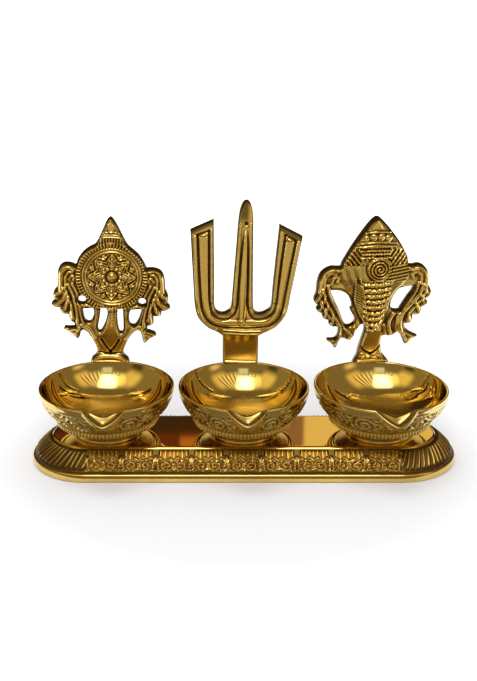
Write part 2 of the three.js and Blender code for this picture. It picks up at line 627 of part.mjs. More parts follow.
const diya = new THREE.Group();
diya.add(makeStand());
diya.add(makeLamp('left', 'wheel_plate', wheelFace(), {
  rim: SIDE_RIM_RADIUS, lean: WHEEL_LEAN, slant: LEFT_SLANT, place: -LAMP_SPACING, turn: LEFT_TURN,
}));
diya.add(makeLamp('centre', 'prong_plate', prongFace(), {
  rim: CENTRE_RIM_RADIUS, lean: PRONG_LEAN, slant: CENTRE_SLANT, place: 0, turn: CENTRE_TURN,
}));
diya.add(makeLamp('right', 'conch_plate', conchFace(), {
  rim: SIDE_RIM_RADIUS, lean: 0, slant: RIGHT_SLANT, place: LAMP_SPACING, turn: RIGHT_TURN,
}));

// Bring the middle of the overall box over the origin
diya.updateMatrixWorld(true);
const box = new THREE.Box3().setFromObject(diya, true);
const middle = box.getCenter(new THREE.Vector3());
diya.position.set(-middle.x, -middle.y, 0);

export default diya;
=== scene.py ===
# %% [markdown]
# # Three brass oil lamps on one stand
#
# The real set is sand-cast brass: a long hollow stand, three turned lamps with a pouring lip,
# and three relief plates that stand up behind the rims. Every cell below makes one piece or
# one finish, in the same frame as the measured solids, so each piece moves with its body.

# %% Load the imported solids
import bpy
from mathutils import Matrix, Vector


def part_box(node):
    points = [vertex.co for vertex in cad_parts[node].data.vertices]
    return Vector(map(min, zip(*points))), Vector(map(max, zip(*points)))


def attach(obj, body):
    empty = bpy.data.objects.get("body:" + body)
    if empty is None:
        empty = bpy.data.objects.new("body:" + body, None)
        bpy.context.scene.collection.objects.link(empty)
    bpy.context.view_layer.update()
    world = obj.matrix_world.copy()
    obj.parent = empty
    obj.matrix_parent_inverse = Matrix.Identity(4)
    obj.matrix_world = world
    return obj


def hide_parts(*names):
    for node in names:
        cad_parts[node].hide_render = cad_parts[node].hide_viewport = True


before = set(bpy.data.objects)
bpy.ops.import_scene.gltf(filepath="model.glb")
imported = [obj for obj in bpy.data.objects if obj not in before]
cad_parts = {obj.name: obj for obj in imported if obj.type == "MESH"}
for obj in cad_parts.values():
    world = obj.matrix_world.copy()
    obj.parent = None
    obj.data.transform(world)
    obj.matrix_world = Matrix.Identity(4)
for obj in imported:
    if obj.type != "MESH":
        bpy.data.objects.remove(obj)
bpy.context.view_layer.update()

# %% Modules and units
import math

import bmesh
import bpy
import numpy as np
from mathutils import Vector

MM = 0.001

# %% [markdown]
# ## The sizes that the pieces share
#
# Lengths are in millimetres, as a caster would write them. They repeat the values of the
# solids, because a dressed piece has to sit exactly where its solid is. Each lamp's middle is
# read from its washer, which is round and sits on the screw that the lamp turns on.

# %% Shared sizes
PLATEAU = 15.4
SEAT = 0.3
RIM = {"left": 36.3, "centre": 35.2, "right": 36.3}
TURN = {"left": 3.0, "centre": 3.0, "right": 7.0}
SLANT = {"left": 0.5, "centre": 1.2, "right": 1.9}
LAMP_HEIGHT = 26.8
LAMP_WALL = 1.8
PLATE_THICKNESS = 5.4
PLATE_FRONT = 1.6
TAB_REACH = 2.0
TAB_DROP = 11


def lamp_middle(side):
    """The point on the plateau that a lamp turns about."""
    low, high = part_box(f"{side}_foot_washer")
    middle = (low + high) / 2 / MM
    return np.array([middle.x, middle.y, PLATEAU + SEAT])


def in_place(points, side):
    """Turns points from a lamp's own frame and moves them to its place on the stand."""
    angle = math.radians(TURN[side])
    x, y, z = np.asarray(points, float).T
    turned = np.stack([
        x * math.cos(angle) - y * math.sin(angle),
        x * math.sin(angle) + y * math.cos(angle),
        z,
    ], axis=1)
    return turned + lamp_middle(side)


for side in RIM:
    print(side, "lamp stands at", lamp_middle(side).round(2))

# %% [markdown]
# ## From rows of numbers to a mesh
#
# Cast relief is too fine to model face by face. Each surface is instead computed with numpy
# as a grid of points, and one function turns the grid into a mesh. It also stores two values
# at every point, which the brass material reads: how dark the point is made, which is patina
# in the hollows of the relief, where polish never reaches, and painted shade in other places,
# and how well it was polished.

# %% Mesh helpers
def linked(name, data):
    """A new object in the scene that shows the data."""
    obj = bpy.data.objects.new(name, data)
    bpy.context.collection.objects.link(obj)
    return obj


def piece(name, mesh, patina_and_shade, polish, body, slot):
    """Stores what the brass reads at each point, and lets the mesh ride on its body."""
    # The first value is how dark the point is made: patina in relief hollows, painted shade elsewhere.
    for label, values in (("patina_and_shade", patina_and_shade), ("polish", polish)):
        layer = mesh.attributes.new(label, "FLOAT", "POINT")
        values = np.broadcast_to(values, len(mesh.vertices)).astype(np.float32)
        layer.data.foreach_set("value", values)
    mesh.materials.append(BRASS[slot])
    obj = linked(name, mesh)
    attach(obj, body)
    print(name, len(mesh.vertices), "points")
    return obj


def cast_piece(name, points, faces, patina_and_shade, polish, body, slot):
    """Makes a smooth piece from millimetre points and four-cornered faces."""
    mesh = bpy.data.meshes.new(name)
    mesh.vertices.add(len(points))
    mesh.vertices.foreach_set("co", (points * MM).ravel())
    mesh.loops.add(faces.size)
    mesh.loops.foreach_set("vertex_index", faces.ravel())
    mesh.polygons.add(len(faces))
    mesh.polygons.foreach_set("loop_start", np.arange(0, faces.size, 4))
    mesh.polygons.foreach_set("use_smooth", np.ones(len(faces), bool))
    mesh.update(calc_edges=True)
    mesh.validate()
    return piece(name, mesh, patina_and_shade, polish, body, slot)


def grid_faces(rows, columns):
    """Faces between neighbouring rows and columns of points, closed round the columns."""
    i, j = np.meshgrid(np.arange(columns), np.arange(rows - 1))
    k = (i + 1) % columns
    return np.stack([j * columns + i, j * columns + k, (j + 1) * columns + k,
                     (j + 1) * columns + i], axis=-1).reshape(-1, 4)


# %% [markdown]
# ## Curves
#
# Two kinds of curve draw everything: a smooth line through given points, for outlines and
# relief, and a line bent towards one pull point, for the walls of the lamps.

# %% Curve helpers
def spline(points, steps=5):
    """A smooth line through points given as u, v, u, v; two points give a straight line."""
    p = np.reshape(points, (-1, 2)).astype(float)
    if len(p) == 2:
        return p
    before = np.vstack([p[:1], p[:-2]])
    after = np.vstack([p[2:], p[-1:]])
    t = (np.arange(steps) / steps)[:, None]
    pieces = []
    for a, b, c, d in zip(before, p[:-1], p[1:], after):
        leave, arrive = (c - a) / 2, (d - b) / 2
        pieces.append((2 * b - 2 * c + leave + arrive) * t ** 3
                      + (3 * c - 3 * b - 2 * leave - arrive) * t ** 2 + leave * t + b)
    return np.vstack(pieces + [p[-1:]])


def bend(start, pull, end, steps):
    """A line from start to end, drawn towards the pull point."""
    t = np.linspace(0, 1, steps + 1)[:, None]
    start, pull, end = (np.array(p, float) for p in (start, pull, end))
    return start * (1 - t) ** 2 + 2 * pull * t * (1 - t) + end * t ** 2


def outline(runs):
    """A closed outline: each run, u, v, u, v, is a smooth line from where the last one ended."""
    start = runs[-1][-2:]
    pieces = []
    for run in runs:
        pieces.append(spline([*start, *run])[:-1])
        start = run[-2:]
    return np.vstack(pieces + [pieces[0][:1]])


def smooth_step(values, low, high):
    share = np.clip((values - low) / (high - low), 0, 1)
    return share * share * (3 - 2 * share)


def soft_band(values, low, full, fading, gone):
    """1 between two levels and 0 outside, with soft ends."""
    return smooth_step(values, low, full) * (1 - smooth_step(values, fading, gone))


def ridge(gap, width):
    """A parabola over the distance from a line."""
    return np.clip(1 - (gap / width) ** 2, 0, 1)


def half_round(gap, radius):
    return np.sqrt(ridge(gap, radius))


def wave(way, length, turn=0.0):
    """A cosine along the way, once every length."""
    return np.cos(2 * math.pi * way / length - turn)


# %% [markdown]
# ## Brass
#
# All of it is one alloy, but not one finish. The inside of a lamp is buffed to a mirror, the
# relief is brushed and keeps a dark brown patina in its hollows, and the backs of the plates
# were never polished. The same dark brown is also painted as shade: along the edges of the
# plates, low in the bowls and in their lips, under the lips and the bead rows, between the
# beads, and over the skirt of the stand. Two node groups make that: one gives the tone and
# the roughness from the values stored at each point, the other the fine lines that polishing leaves.

# %% Node helpers
def fill(tree, node, inputs):
    """Sets a node's inputs, by name or number, to values, or links output sockets to them."""
    for label, value in inputs.items():
        if isinstance(value, bpy.types.NodeSocket):
            tree.links.new(value, node.inputs[label])
        else:
            node.inputs[label].default_value = value


def make(tree, kind, inputs=None, **settings):
    """A new shader node with its settings made and its inputs filled."""
    node = tree.nodes.new("ShaderNode" + kind)
    for label, value in settings.items():
        setattr(node, label, value)
    fill(tree, node, inputs or {})
    return node


def number(tree, operation, a, b=0.0, c=0.0, clamp=False):
    """The result of a Math node."""
    return make(tree, "Math", {0: a, 1: b, 2: c}, operation=operation, use_clamp=clamp).outputs[0]


def blend(tree, share, a, b):
    """A mix of two colours."""
    return make(tree, "Mix", {"Factor": share, 6: a, 7: b}, data_type="RGBA").outputs[2]


def new_group(name, inputs, outputs):
    """An empty node group, from named inputs with their values and named outputs."""
    group = bpy.data.node_groups.new(name, "ShaderNodeTree")
    for label, value in inputs.items():
        kind = "NodeSocketColor" if isinstance(value, tuple) else "NodeSocketFloat"
        group.interface.new_socket(label, in_out="INPUT", socket_type=kind).default_value = value
    for label, kind in outputs.items():
        group.interface.new_socket(label, in_out="OUTPUT", socket_type=kind)
    return group, group.nodes.new("NodeGroupInput").outputs, group.nodes.new("NodeGroupOutput")


def new_material(name):
    material = bpy.data.materials.new(name)
    material.use_nodes = True
    return material, material.node_tree


# %% The tone of cast brass
tone, given, result = new_group("Cast_brass_tone", {
    "Patina And Shade": 0.0, "Polish": 0.0, "Bright": (0.88, 0.63, 0.20, 1), "Dull": (0.56, 0.36, 0.09, 1),
    "Skin": (0.04, 0.024, 0.008, 1), "Patch Scale": 70.0,
}, {"Color": "NodeSocketColor", "Roughness": "NodeSocketFloat"})
patches = make(tone, "TexNoise", {
    "Vector": make(tone, "TexCoord").outputs["Object"], "Scale": given["Patch Scale"],
    "Detail": 5.0, "Roughness": 0.6,
})
spread = number(tone, "MULTIPLY_ADD", patches.outputs["Fac"], 2.4, -0.75, True)
unpolished = number(tone, "SUBTRACT", 1.0, given["Polish"])
dulling = number(tone, "MULTIPLY", spread, unpolished, clamp=True)
metal = blend(tone, dulling, given["Bright"], given["Dull"])
satin = number(tone, "MULTIPLY_ADD", unpolished, 0.17, 0.025)
rough = number(tone, "MULTIPLY_ADD", dulling, 0.12, satin)
crusted = number(tone, "MULTIPLY", given["Patina And Shade"], 0.3)
# The dark colour is patina in the hollows and painted shade elsewhere, blended in by the first value.
fill(tone, result, {
    "Color": blend(tone, given["Patina And Shade"], metal, given["Skin"]),
    "Roughness": number(tone, "ADD", rough, crusted, clamp=True),
})

# %% The lines that polishing leaves
lines, given, result = new_group("Polishing_lines", {"Scale": 900.0, "Depth": 1.0, "Polish": 0.0},
                                 {"Height": "NodeSocketFloat"})
stretch = make(lines, "Mapping", {
    "Vector": make(lines, "TexCoord").outputs["Object"], "Scale": (1.0, 1.0, 0.12),
})
grain = make(lines, "TexNoise", {
    "Vector": stretch.outputs["Vector"], "Scale": given["Scale"], "Detail": 3.0,
})
left_by_polish = number(lines, "SUBTRACT", 1.01, given["Polish"])
depth = number(lines, "MULTIPLY", left_by_polish, given["Depth"])
fill(lines, result, {"Height": number(lines, "MULTIPLY", grain.outputs["Fac"], depth)})


# %% Brass materials
def brass(name, bright, dull, patina_and_shade_colour, patch_scale, line_depth):
    """Brass that reads patina and painted shade, and polish, from the mesh and adds fine lines."""
    material, tree = new_material(name)
    patina_and_shade, polish = (make(tree, "Attribute", attribute_name=label).outputs["Fac"]
                      for label in ("patina_and_shade", "polish"))
    look = make(tree, "Group", {
        "Patina And Shade": patina_and_shade, "Polish": polish, "Bright": (*bright, 1), "Dull": (*dull, 1),
        "Skin": (*patina_and_shade_colour, 1), "Patch Scale": patch_scale,
    }, node_tree=tone)
    scratches = make(tree, "Group", {"Depth": line_depth, "Polish": polish}, node_tree=lines)
    bump = make(tree, "Bump", {"Distance": 0.00002, "Height": scratches.outputs["Height"]})
    fill(tree, tree.nodes["Principled BSDF"], {
        "Metallic": 1.0, "Base Color": look.outputs["Color"],
        "Roughness": look.outputs["Roughness"], "Normal": bump.outputs["Normal"],
    })
    return material


BRASS = {
    "bowl_brass": brass("Buffed_lamp_brass", (0.91, 0.71, 0.27), (0.68, 0.49, 0.14),
                        (0.17, 0.11, 0.04), 60.0, 0.5),
    "plate_brass": brass("Relief_plate_brass", (0.89, 0.67, 0.24), (0.54, 0.39, 0.11),
                         (0.10, 0.065, 0.02), 150.0, 0.9),
    "stand_brass": brass("Stand_brass", (0.86, 0.61, 0.19), (0.46, 0.29, 0.07),
                         (0.09, 0.05, 0.018), 90.0, 0.8),
}
FIXING_BRASS = brass("Turned_screw_brass", (0.74, 0.52, 0.20), (0.48, 0.32, 0.10), (0.1, 0.06, 0.02),
                     300.0, 1.0)
print("materials:", [m.name for m in bpy.data.materials])


# %% [markdown]
# ## A relief plate
#
# A plate is a slab with a rounded edge and a drawing raised on its face. It is made as a
# height at every point of a fine grid. Grid points just outside the outline are moved onto
# it, so that the edge is smooth, and the distance to the outline rounds the edge off. Lines,
# rings and folds are then added to the height. Sculpting would give the same look, but not
# from numbers that can be changed.

# %% Grid helpers for the plates
RELIEF = 1.35
GRID_STEP = 0.26
BACK_ROUND = 0.6
BLUR = 4


def segments(chains):
    return [(a, b) for chain in chains for a, b in zip(chain[:-1], chain[1:])]


def nearest(u, v, chains):
    """Distance from each grid point to the closest of some lines, and the point there."""
    best = np.full(u.shape, 1e9)
    near_u, near_v = np.zeros(u.shape), np.zeros(u.shape)
    for a, b in segments(chains):
        d = b - a
        length = d @ d
        if length == 0:
            continue
        t = np.clip(((u - a[0]) * d[0] + (v - a[1]) * d[1]) / length, 0, 1)
        pu, pv = a[0] + t * d[0], a[1] + t * d[1]
        gap = (u - pu) ** 2 + (v - pv) ** 2
        closer = gap < best
        for kept, new in ((best, gap), (near_u, pu), (near_v, pv)):
            kept[closer] = new[closer]
    return np.sqrt(best), near_u, near_v


def within(u, v, chains):
    """Whether each grid point lies inside the outline and outside its holes."""
    inside = np.zeros(u.shape, bool)
    for a, b in segments(chains):
        if a[1] != b[1]:
            crosses = (a[1] > v) != (b[1] > v)
            inside ^= crosses & (u < (b[0] - a[0]) * (v - a[1]) / (b[1] - a[1]) + a[0])
    return inside


def blurred(values, reach):
    """Values averaged over neighbouring grid points, to tell hollows from crests."""
    weights = np.exp(-0.5 * (np.arange(-2 * reach, 2 * reach + 1) / reach) ** 2)
    weights /= weights.sum()
    for axis in (0, 1):
        values = np.apply_along_axis(np.convolve, axis, values, weights, "same")
    return values


# %% A face to draw relief on
class Face:
    """The front of a plate: a grid with a height to draw on."""

    def __init__(self, u, v):
        self.u, self.v = u, v
        self.height = np.zeros(u.shape)
        # A darkening layer: real marks in some places, painted shade in others.
        self.stain_and_shade = np.zeros(u.shape)
        self.shine = np.zeros(u.shape)

    def around(self, u, v):
        """Distance and direction of each grid point from one point."""
        return np.hypot(self.u - u, self.v - v), np.arctan2(self.v - v, self.u - u)

    def line(self, points, width, rise):
        """A rounded ridge along a line, or a groove where rise is negative."""
        chain = spline(points, 4)
        low, high = chain.min(0) - width, chain.max(0) + width
        spot = (self.u > low[0]) & (self.u < high[0]) & (self.v > low[1]) & (self.v < high[1])
        gap = nearest(self.u[spot], self.v[spot], [chain])[0]
        self.height[spot] += rise * ridge(gap, width)

    def ring(self, u, v, radius, width, rise):
        gap = np.abs(np.hypot(self.u - u, self.v - v) - radius)
        self.height += rise * ridge(gap, width)

    def dome(self, u, v, radius, rise):
        gap = np.hypot(self.u - u, self.v - v)
        self.height += rise * half_round(gap, radius)

    def domes_round(self, u, v, away, angles, radius, rise):
        for angle in angles:
            self.dome(u + away * math.cos(angle), v + away * math.sin(angle), radius, rise)

    def add(self, values, where):
        self.height += values * where

    def chasing(self, seed, rise, where):
        """Small uneven marks that the chaser's punch left, from seeded waves."""
        dice = np.random.default_rng(seed)
        marks = np.zeros(self.u.shape)
        for wave in (1.3, 1.6, 2.1, 2.9, 3.7):
            for _ in range(2):
                heading, phase = 2 * math.pi * dice.random(2)
                along = self.u * math.cos(heading) + self.v * math.sin(heading)
                marks += np.sin(2 * math.pi * along / wave + phase)
        self.height += rise * marks / 3 * where


# %% Build a plate
def rounding(gap, radius):
    """How far a rounded edge still rises at a distance from the outline."""
    short = radius - np.minimum(gap, radius)
    return np.sqrt(radius ** 2 - short ** 2)


def plate_piece(name, side, node, chains, lean, draw, edge_round):
    """A plate in its lamp's frame, from its outline and holes and a function that draws."""
    every = np.vstack(chains)
    low, high = every.min(0) - GRID_STEP, every.max(0) + 2 * GRID_STEP
    u, v = np.meshgrid(*(np.arange(low[i], high[i], GRID_STEP) for i in (0, 1)))
    gap, near_u, near_v = nearest(u, v, chains)
    inside = within(u, v, chains)
    kept = inside[:-1, :-1] | inside[1:, :-1] | inside[:-1, 1:] | inside[1:, 1:]
    used = np.zeros(u.shape, bool)
    for rows in (slice(None, -1), slice(1, None)):
        for columns in (slice(None, -1), slice(1, None)):
            used[rows, columns] |= kept
    outside = used & ~inside
    u[outside], v[outside], gap[outside] = near_u[outside], near_v[outside], 0
    face = Face(u, v)
    draw(face)
    drawn = RELIEF * face.height * smooth_step(gap, 0.3, 1.4)
    front = PLATE_THICKNESS - edge_round + rounding(gap, edge_round) + drawn
    back = BACK_ROUND - rounding(gap, BACK_ROUND)
    above = drawn - blurred(drawn, BLUR)
    # Hollows of the relief keep dark patina; rim_shade is painted shade along the edge of the plate.
    hollow = np.clip((-above - 0.04) / 0.26, 0, 1)
    rim_shade = 0.9 * (1 - smooth_step(gap, 0.25, 0.9))
    patina_and_shade = np.clip(hollow + rim_shade + face.stain_and_shade, 0, 1)
    crest = np.clip(above / 0.3, 0, 1)
    number_of = np.full(u.shape, -1)
    number_of[used] = np.arange(used.sum())
    total = int(used.sum())
    rows, columns = np.nonzero(kept)
    corners = np.stack([number_of[rows, columns], number_of[rows, columns + 1],
                        number_of[rows + 1, columns + 1], number_of[rows + 1, columns]], axis=1)
    faces = [corners, corners[:, ::-1] + total]
    sides = np.pad(kept, 1)
    for (dr, dc), (first, second) in {(-1, 0): (0, 1), (0, 1): (1, 2), (1, 0): (2, 3),
                                      (0, -1): (3, 0)}.items():
        bare = ~sides[rows + 1 + dr, columns + 1 + dc]
        a, b = corners[bare, first], corners[bare, second]
        faces.append(np.stack([b, a, a + total, b + total], axis=1))
    rim = RIM[side]
    back_depth = max(rim - LAMP_WALL - PLATE_FRONT + PLATE_THICKNESS, rim + TAB_REACH)
    angle = math.radians(lean)
    x = u * math.cos(angle) + v * math.sin(angle)
    z = v * math.cos(angle) - u * math.sin(angle) + LAMP_HEIGHT
    points = np.vstack([np.stack([x[used], back_depth - depth[used], z[used]], axis=1)
                        for depth in (front, back)])
    patina_and_shade = np.concatenate([patina_and_shade[used], np.full(total, 0.55)])
    shine = np.maximum(0.42 + 0.6 * crest, face.shine)
    polish = np.concatenate([shine[used], np.full(total, 0.1)])
    plate = cast_piece(name, in_place(points, side), np.vstack(faces), patina_and_shade, polish,
                       f"{side}_lamp", "plate_brass")
    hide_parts(node)


def plate_foot(left, right, lean):
    """The straight lower edge of a plate, level 0.8 mm under the rim once the plate leans."""
    angle = math.radians(lean)
    level = [(-0.8 + u * math.sin(angle)) / math.cos(angle) for u in (right, left)]
    return [(right, level[0]), (left, level[1])]


# %% [markdown]
# ## The wheel plate
#
# A disc with a notched border, rings and a star of eight petals round a hub, under a pointed
# flame. A draped ribbon hangs on each side in folds, and four slots lighten the pedestal.

# %% Wheel plate outline
WHEEL_EDGE = [
    (-10, 2, -8.3, 3.6, -7.3, 5.2, -7.4, 7.2, -8.3, 9.8, -10, 13, -12, 16.2, -14, 18, -15.6, 18.3,
     -16.8, 17),
    (-17, 14.9, -18, 13.3, -19.4, 13.8, -21.4, 16, -23.8, 17.5, -26, 18.7),
    (-25.4, 19.8, -22.8, 19.8, -19.8, 20.2),
    (-20.3, 22.4, -22.2, 23.7, -23, 25.4, -22.8, 27.1),
    (-24.6, 27.4, -26.8, 27.9, -28, 29.4, -28.1, 31.1),
    (-30.4, 31.2, -32.4, 31.9, -32.8, 33.4, -31.8, 34.6, -30.2, 35.4),
    (-31.6, 37, -31.9, 38.9, -31.2, 41, -29.6, 42.8),
    (-29.3, 45.8, -29.5, 49.8, -29.1, 53.2, -27.6, 55.7, -25.2, 56.9, -22.2, 56.8, -19.6, 55.8),
    (-18.3, 59.6, -15.5, 63.6, -12.3, 66.2, -9.3, 67.9),
    (-7.8, 70.4, -5.7, 75.2, -3.8, 80, -2.4, 82.5, -1, 83.4, 0.4, 82.3, 2.4, 79.4, 5, 74.6, 7.2, 70.3,
     8.9, 67.8),
    (11.8, 65.4, 14.8, 62.7, 17.3, 59.2, 19.2, 55.4),
    (21.5, 55.7, 24, 55.5, 26.6, 54.5, 28.4, 52.3, 29.3, 49, 29.6, 45.6, 29.8, 43.6),
    (31.1, 41.2, 31.6, 39, 31.2, 36.8, 30.9, 35.8),
    (32.6, 34.1, 32.6, 32.8, 31, 31.7, 29.2, 31.2, 27.7, 31),
    (28, 29.2, 27, 28.1, 25, 27.9, 23.3, 28.1),
    (23.8, 25.6, 23.6, 23.7, 22.2, 22.5, 20.7, 22.4),
    (20.3, 19.8, 22.4, 19, 24.8, 18.1, 25.6, 16.8),
    (23.6, 15.5, 21.4, 14.1, 20, 12.3, 18.7, 12, 18, 13.6, 17.5, 16.2, 16.4, 18.9),
    (15, 19.3, 13.3, 18.4, 11, 15.7, 9.3, 12.4, 8, 9, 7.4, 6.8, 7.5, 5.1, 8.6, 3.6, 10.3, 2.1, 10.9,
     0.6),
] + plate_foot(-10.6, 10.9, 3.3) + [(-10.6, 0.6)]
WHEEL_SLOTS = [
    [(-9.9, 31.4), (-9.4, 28.2, -10.4, 24.9, -11.8, 23.3, -13.7, 23.9, -14.9, 26.6, -15.7, 31)],
    [(-2.2, 31.5), (-2, 28, -3, 23.5, -4.6, 19.8, -5.9, 18, -7, 19.2, -6.9, 22, -6.1, 27, -5.8, 31.7)],
    [(6.5, 31.6), (6.8, 27, 7.1, 21, 7.1, 19.2, 6, 17.8, 4.9, 18.6, 4, 22, 3.5, 27, 3.7, 31.2)],
    [(16.9, 31.9), (16.4, 29, 15, 25, 13, 22.3, 11, 22.9, 10.1, 25.4, 10.2, 28.5, 10.9, 31.2)],
]


def round_chain(u, v, radius, count=24):
    angle = np.linspace(0, 2 * math.pi, count + 1)
    return np.stack([u + radius * np.cos(angle), v + radius * np.sin(angle)], axis=1)


wheel_chains = [outline(WHEEL_EDGE)] + [outline(slot) for slot in WHEEL_SLOTS]
wheel_chains += [round_chain(-16, 36.4, 2.1), round_chain(17.1, 36.2, 2.1)]


# %% Wheel plate relief
def draw_ribbon(face, side):
    """The folds of a draped ribbon; side is -1 for the left one and 1 for the right one."""
    folds = [
        ((27.6, 42.5, 28, 47, 27.4, 51.5, 25.4, 54.6, 22.6, 55.2, 20.6, 54.2), 1.5, 0.9),
        ((24.9, 44, 25.2, 48.6, 23.8, 51.8, 21.4, 52.2), 0.8, 0.5),
        ((23.2, 48, 21.8, 50, 20.4, 49.6, 20.6, 47.8), 0.7, 0.5),
        ((23.6, 45, 21.6, 40.6, 20.2, 36, 19.2, 31, 18.4, 25.6, 18.2, 21.6), 0.9, 0.8),
        ((21.4, 45.4, 18.8, 40.4, 17.6, 33.6, 16.4, 27.6, 15, 22.6), 0.8, 0.6),
        ((25.4, 44.6, 23.6, 39.6, 22.2, 34.6, 21, 29.4, 20.4, 25.4), 0.8, 0.6),
        ((25.8, 43, 27.4, 40.6, 29.6, 39.4, 31, 39), 1.2, 0.9),
        ((24.8, 40.4, 26, 37, 28.4, 34.4, 31.4, 33.4), 1.3, 0.9),
        ((23.4, 38, 24.2, 34, 25.4, 31, 27, 29.4), 1.2, 0.9),
        ((21.8, 33, 21.6, 29, 22, 26, 22.2, 24.2), 1.1, 0.8),
        ((17.4, 20.4, 20, 19, 23, 18.2, 25, 17.8), 0.8, 0.5),
        ((17.4, 20, 18.6, 17.6, 19.2, 15.2, 19.2, 13.4), 0.8, 0.5),
        ((17.2, 20, 19.4, 17.4, 21.4, 16, 22.4, 15.4), 0.7, 0.4),
        ((16.4, 21.6, 13.4, 20.8, 10.6, 18.4, 8.8, 14.6), 1.0, 0.6),
    ]
    for points, width, rise in folds:
        face.line(np.reshape(points, (-1, 2)) * (side, 1), 1.2 * width, 1.1 * rise)


def draw_wheel(face):
    u, v = 0.2, 50.4
    away, turn = face.around(u, v)
    face.add(0.45, away < 19.7)
    ticks = 0.5 + 0.5 * np.cos(66 * turn)
    face.add(1.1 * ticks, (away > 17.0) & (away < 19.6))
    face.ring(u, v, 15.9, 0.8, 0.45)
    face.ring(u, v, 14.3, 0.6, 0.45)
    face.domes_round(u, v, 4.9, np.arange(12) * math.pi / 6, 1.0, 0.55)
    face.ring(u, v, 3.3, 0.8, -0.4)
    face.dome(u, v, 2.0, 0.9)
    petal = np.abs(((turn * 8 / (2 * math.pi) + 0.5) % 1) - 0.5) * 2
    band = (away > 5.9) & (away < 13.2)
    point = np.clip(1 - petal * (1.0 + 1.6 * (away - 6) / 7), -0.2, 1)
    ribs = 0.3 * wave(away + 4.2 * petal, 2.1)
    face.add(0.75 * point + ribs, band)
    tips = (np.arange(8) + 0.5) * math.pi / 4
    face.domes_round(u, v, 11.6, tips, 1.5, 0.7)
    for lean in (-0.2, 0.2):
        face.domes_round(u, v, 9.6, tips + lean, 0.9, 0.45)
    flame = (face.v > 68.6) & (np.abs(face.u - 0.1) < 9)
    face.add(0.3 * wave(face.u, 1.5), flame & (face.v < 72.2))
    for level, rise in ((72.6, 0.5), (73.9, 0.45), (75.4, 0.7)):
        face.line((-8, level - 0.5, 0, level + 0.2, 8, level - 0.5), 0.5, rise)
    face.line((-0.6, 76.5, -0.8, 82), 1.8, 0.5)
    for side in (-1, 1):
        draw_ribbon(face, side)
        face.line((side * 14.6, 33.6, side * 8.5, 32.4, 0, 32.2), 0.8, 0.4)
        for step in range(9):
            face.dome(side * 8.4, 31 - 1.35 * step, 0.7, 0.5)
        for step in range(7):
            face.dome(side * (4.6 + 1.5 * step), 34.4 + 0.06 * step * step, 0.75, 0.4)
    for step in range(6):
        face.dome(0.7, 31 - 1.8 * step, 0.8, 0.4)
    face.line((-5.2, 14, -2.6, 10, 0.2, 6.4), 0.9, -0.9)
    face.line((4.8, 13.8, 2.8, 10, 0.2, 6.4), 0.9, -0.9)
    face.line((-10, 5.4, -5, 6.2, 0, 5.6, 5, 6.2, 10, 5.4), 0.6, -0.7)
    face.line((-10, 1.8, -5, 3.4, 0, 3.9, 5, 3.4, 10, 1.8), 1.6, 1.0)
    face.line((-10, 0.3, 0, 0.9, 10, 0.3), 0.7, 0.6)


plate_piece("wheel_plate_cast", "left", "wheel_plate", wheel_chains, 3.3, draw_wheel, 2.0)

# %% [markdown]
# ## The three-pronged plate
#
# This one is plainer: ribs run up each prong and turn round at the bottom, and the stem is
# left flat and polished, so that it mirrors the lamp in front of it.

# %% Pronged plate
PRONG_EDGE = [
    (-14.2, 18, -18.6, 19.9, -22.2, 22.7, -24.9, 26, -26.6, 30.3, -27.6, 36),
    (-31.2, 75.5),
    (-18.7, 81.7),
    (-17.9, 65, -17.2, 50, -16.7, 37),
    (-16, 32.2, -14.2, 29.7, -12, 28.9, -9.8, 29.5, -7.6, 31.5, -6.9, 34.8),
    (-6.5, 50, -6, 65, -5.6, 80),
    (-5, 87.2, -3.5, 91.4, -1.5, 92.9, 0.4, 91.8, 1.8, 88.4, 2.6, 83.6),
    (3.4, 65, 4.2, 48, 4.9, 35),
    (5.6, 31.6, 7.4, 29.7, 9.6, 29.6, 12.4, 30.8, 14.6, 33, 15.2, 36.7),
    (15.3, 45, 15.8, 58, 16.8, 80.4),
    (29.9, 74.2),
    (28.4, 63, 27, 52, 25.6, 42, 24.7, 34.5, 23.6, 29.5, 21.4, 25.6, 18.4, 22, 15, 19.8, 11.5, 18, 9,
     16.4),
] + plate_foot(-10, 9.5, 3) + [(-10.9, 15.8)]
PRONG_GROOVES = [
    (-27.2, 73.4, -25.6, 55, -23.9, 38, -22.8, 31, -20.4, 26, -16.4, 22.6, -10, 21.2, 0, 21.0, 9, 21.7,
     15.4, 23.6, 19.4, 27.4, 21.2, 33, 22.4, 42, 24.4, 58, 26.2, 72.2),
    (-21.1, 75.8, -20.4, 60, -19.8, 45, -19.2, 36, -17.8, 29.6, -14.6, 26.4, -11, 25.6, -7.2, 26.8,
     -4.6, 30, -3.7, 36, -3.4, 50, -2.8, 65, -1.5, 81),
    (20.4, 75, 19.2, 60, 18.4, 46, 18, 37, 16.6, 31, 13.4, 27.6, 9, 26.4, 5, 27.2, 2.6, 31, 1.6, 38,
     1.2, 50, 0.5, 65, -0.8, 81),
    (-27.2, 73.4, -21.1, 75.8),
    (20.4, 75, 26.2, 72.2),
]


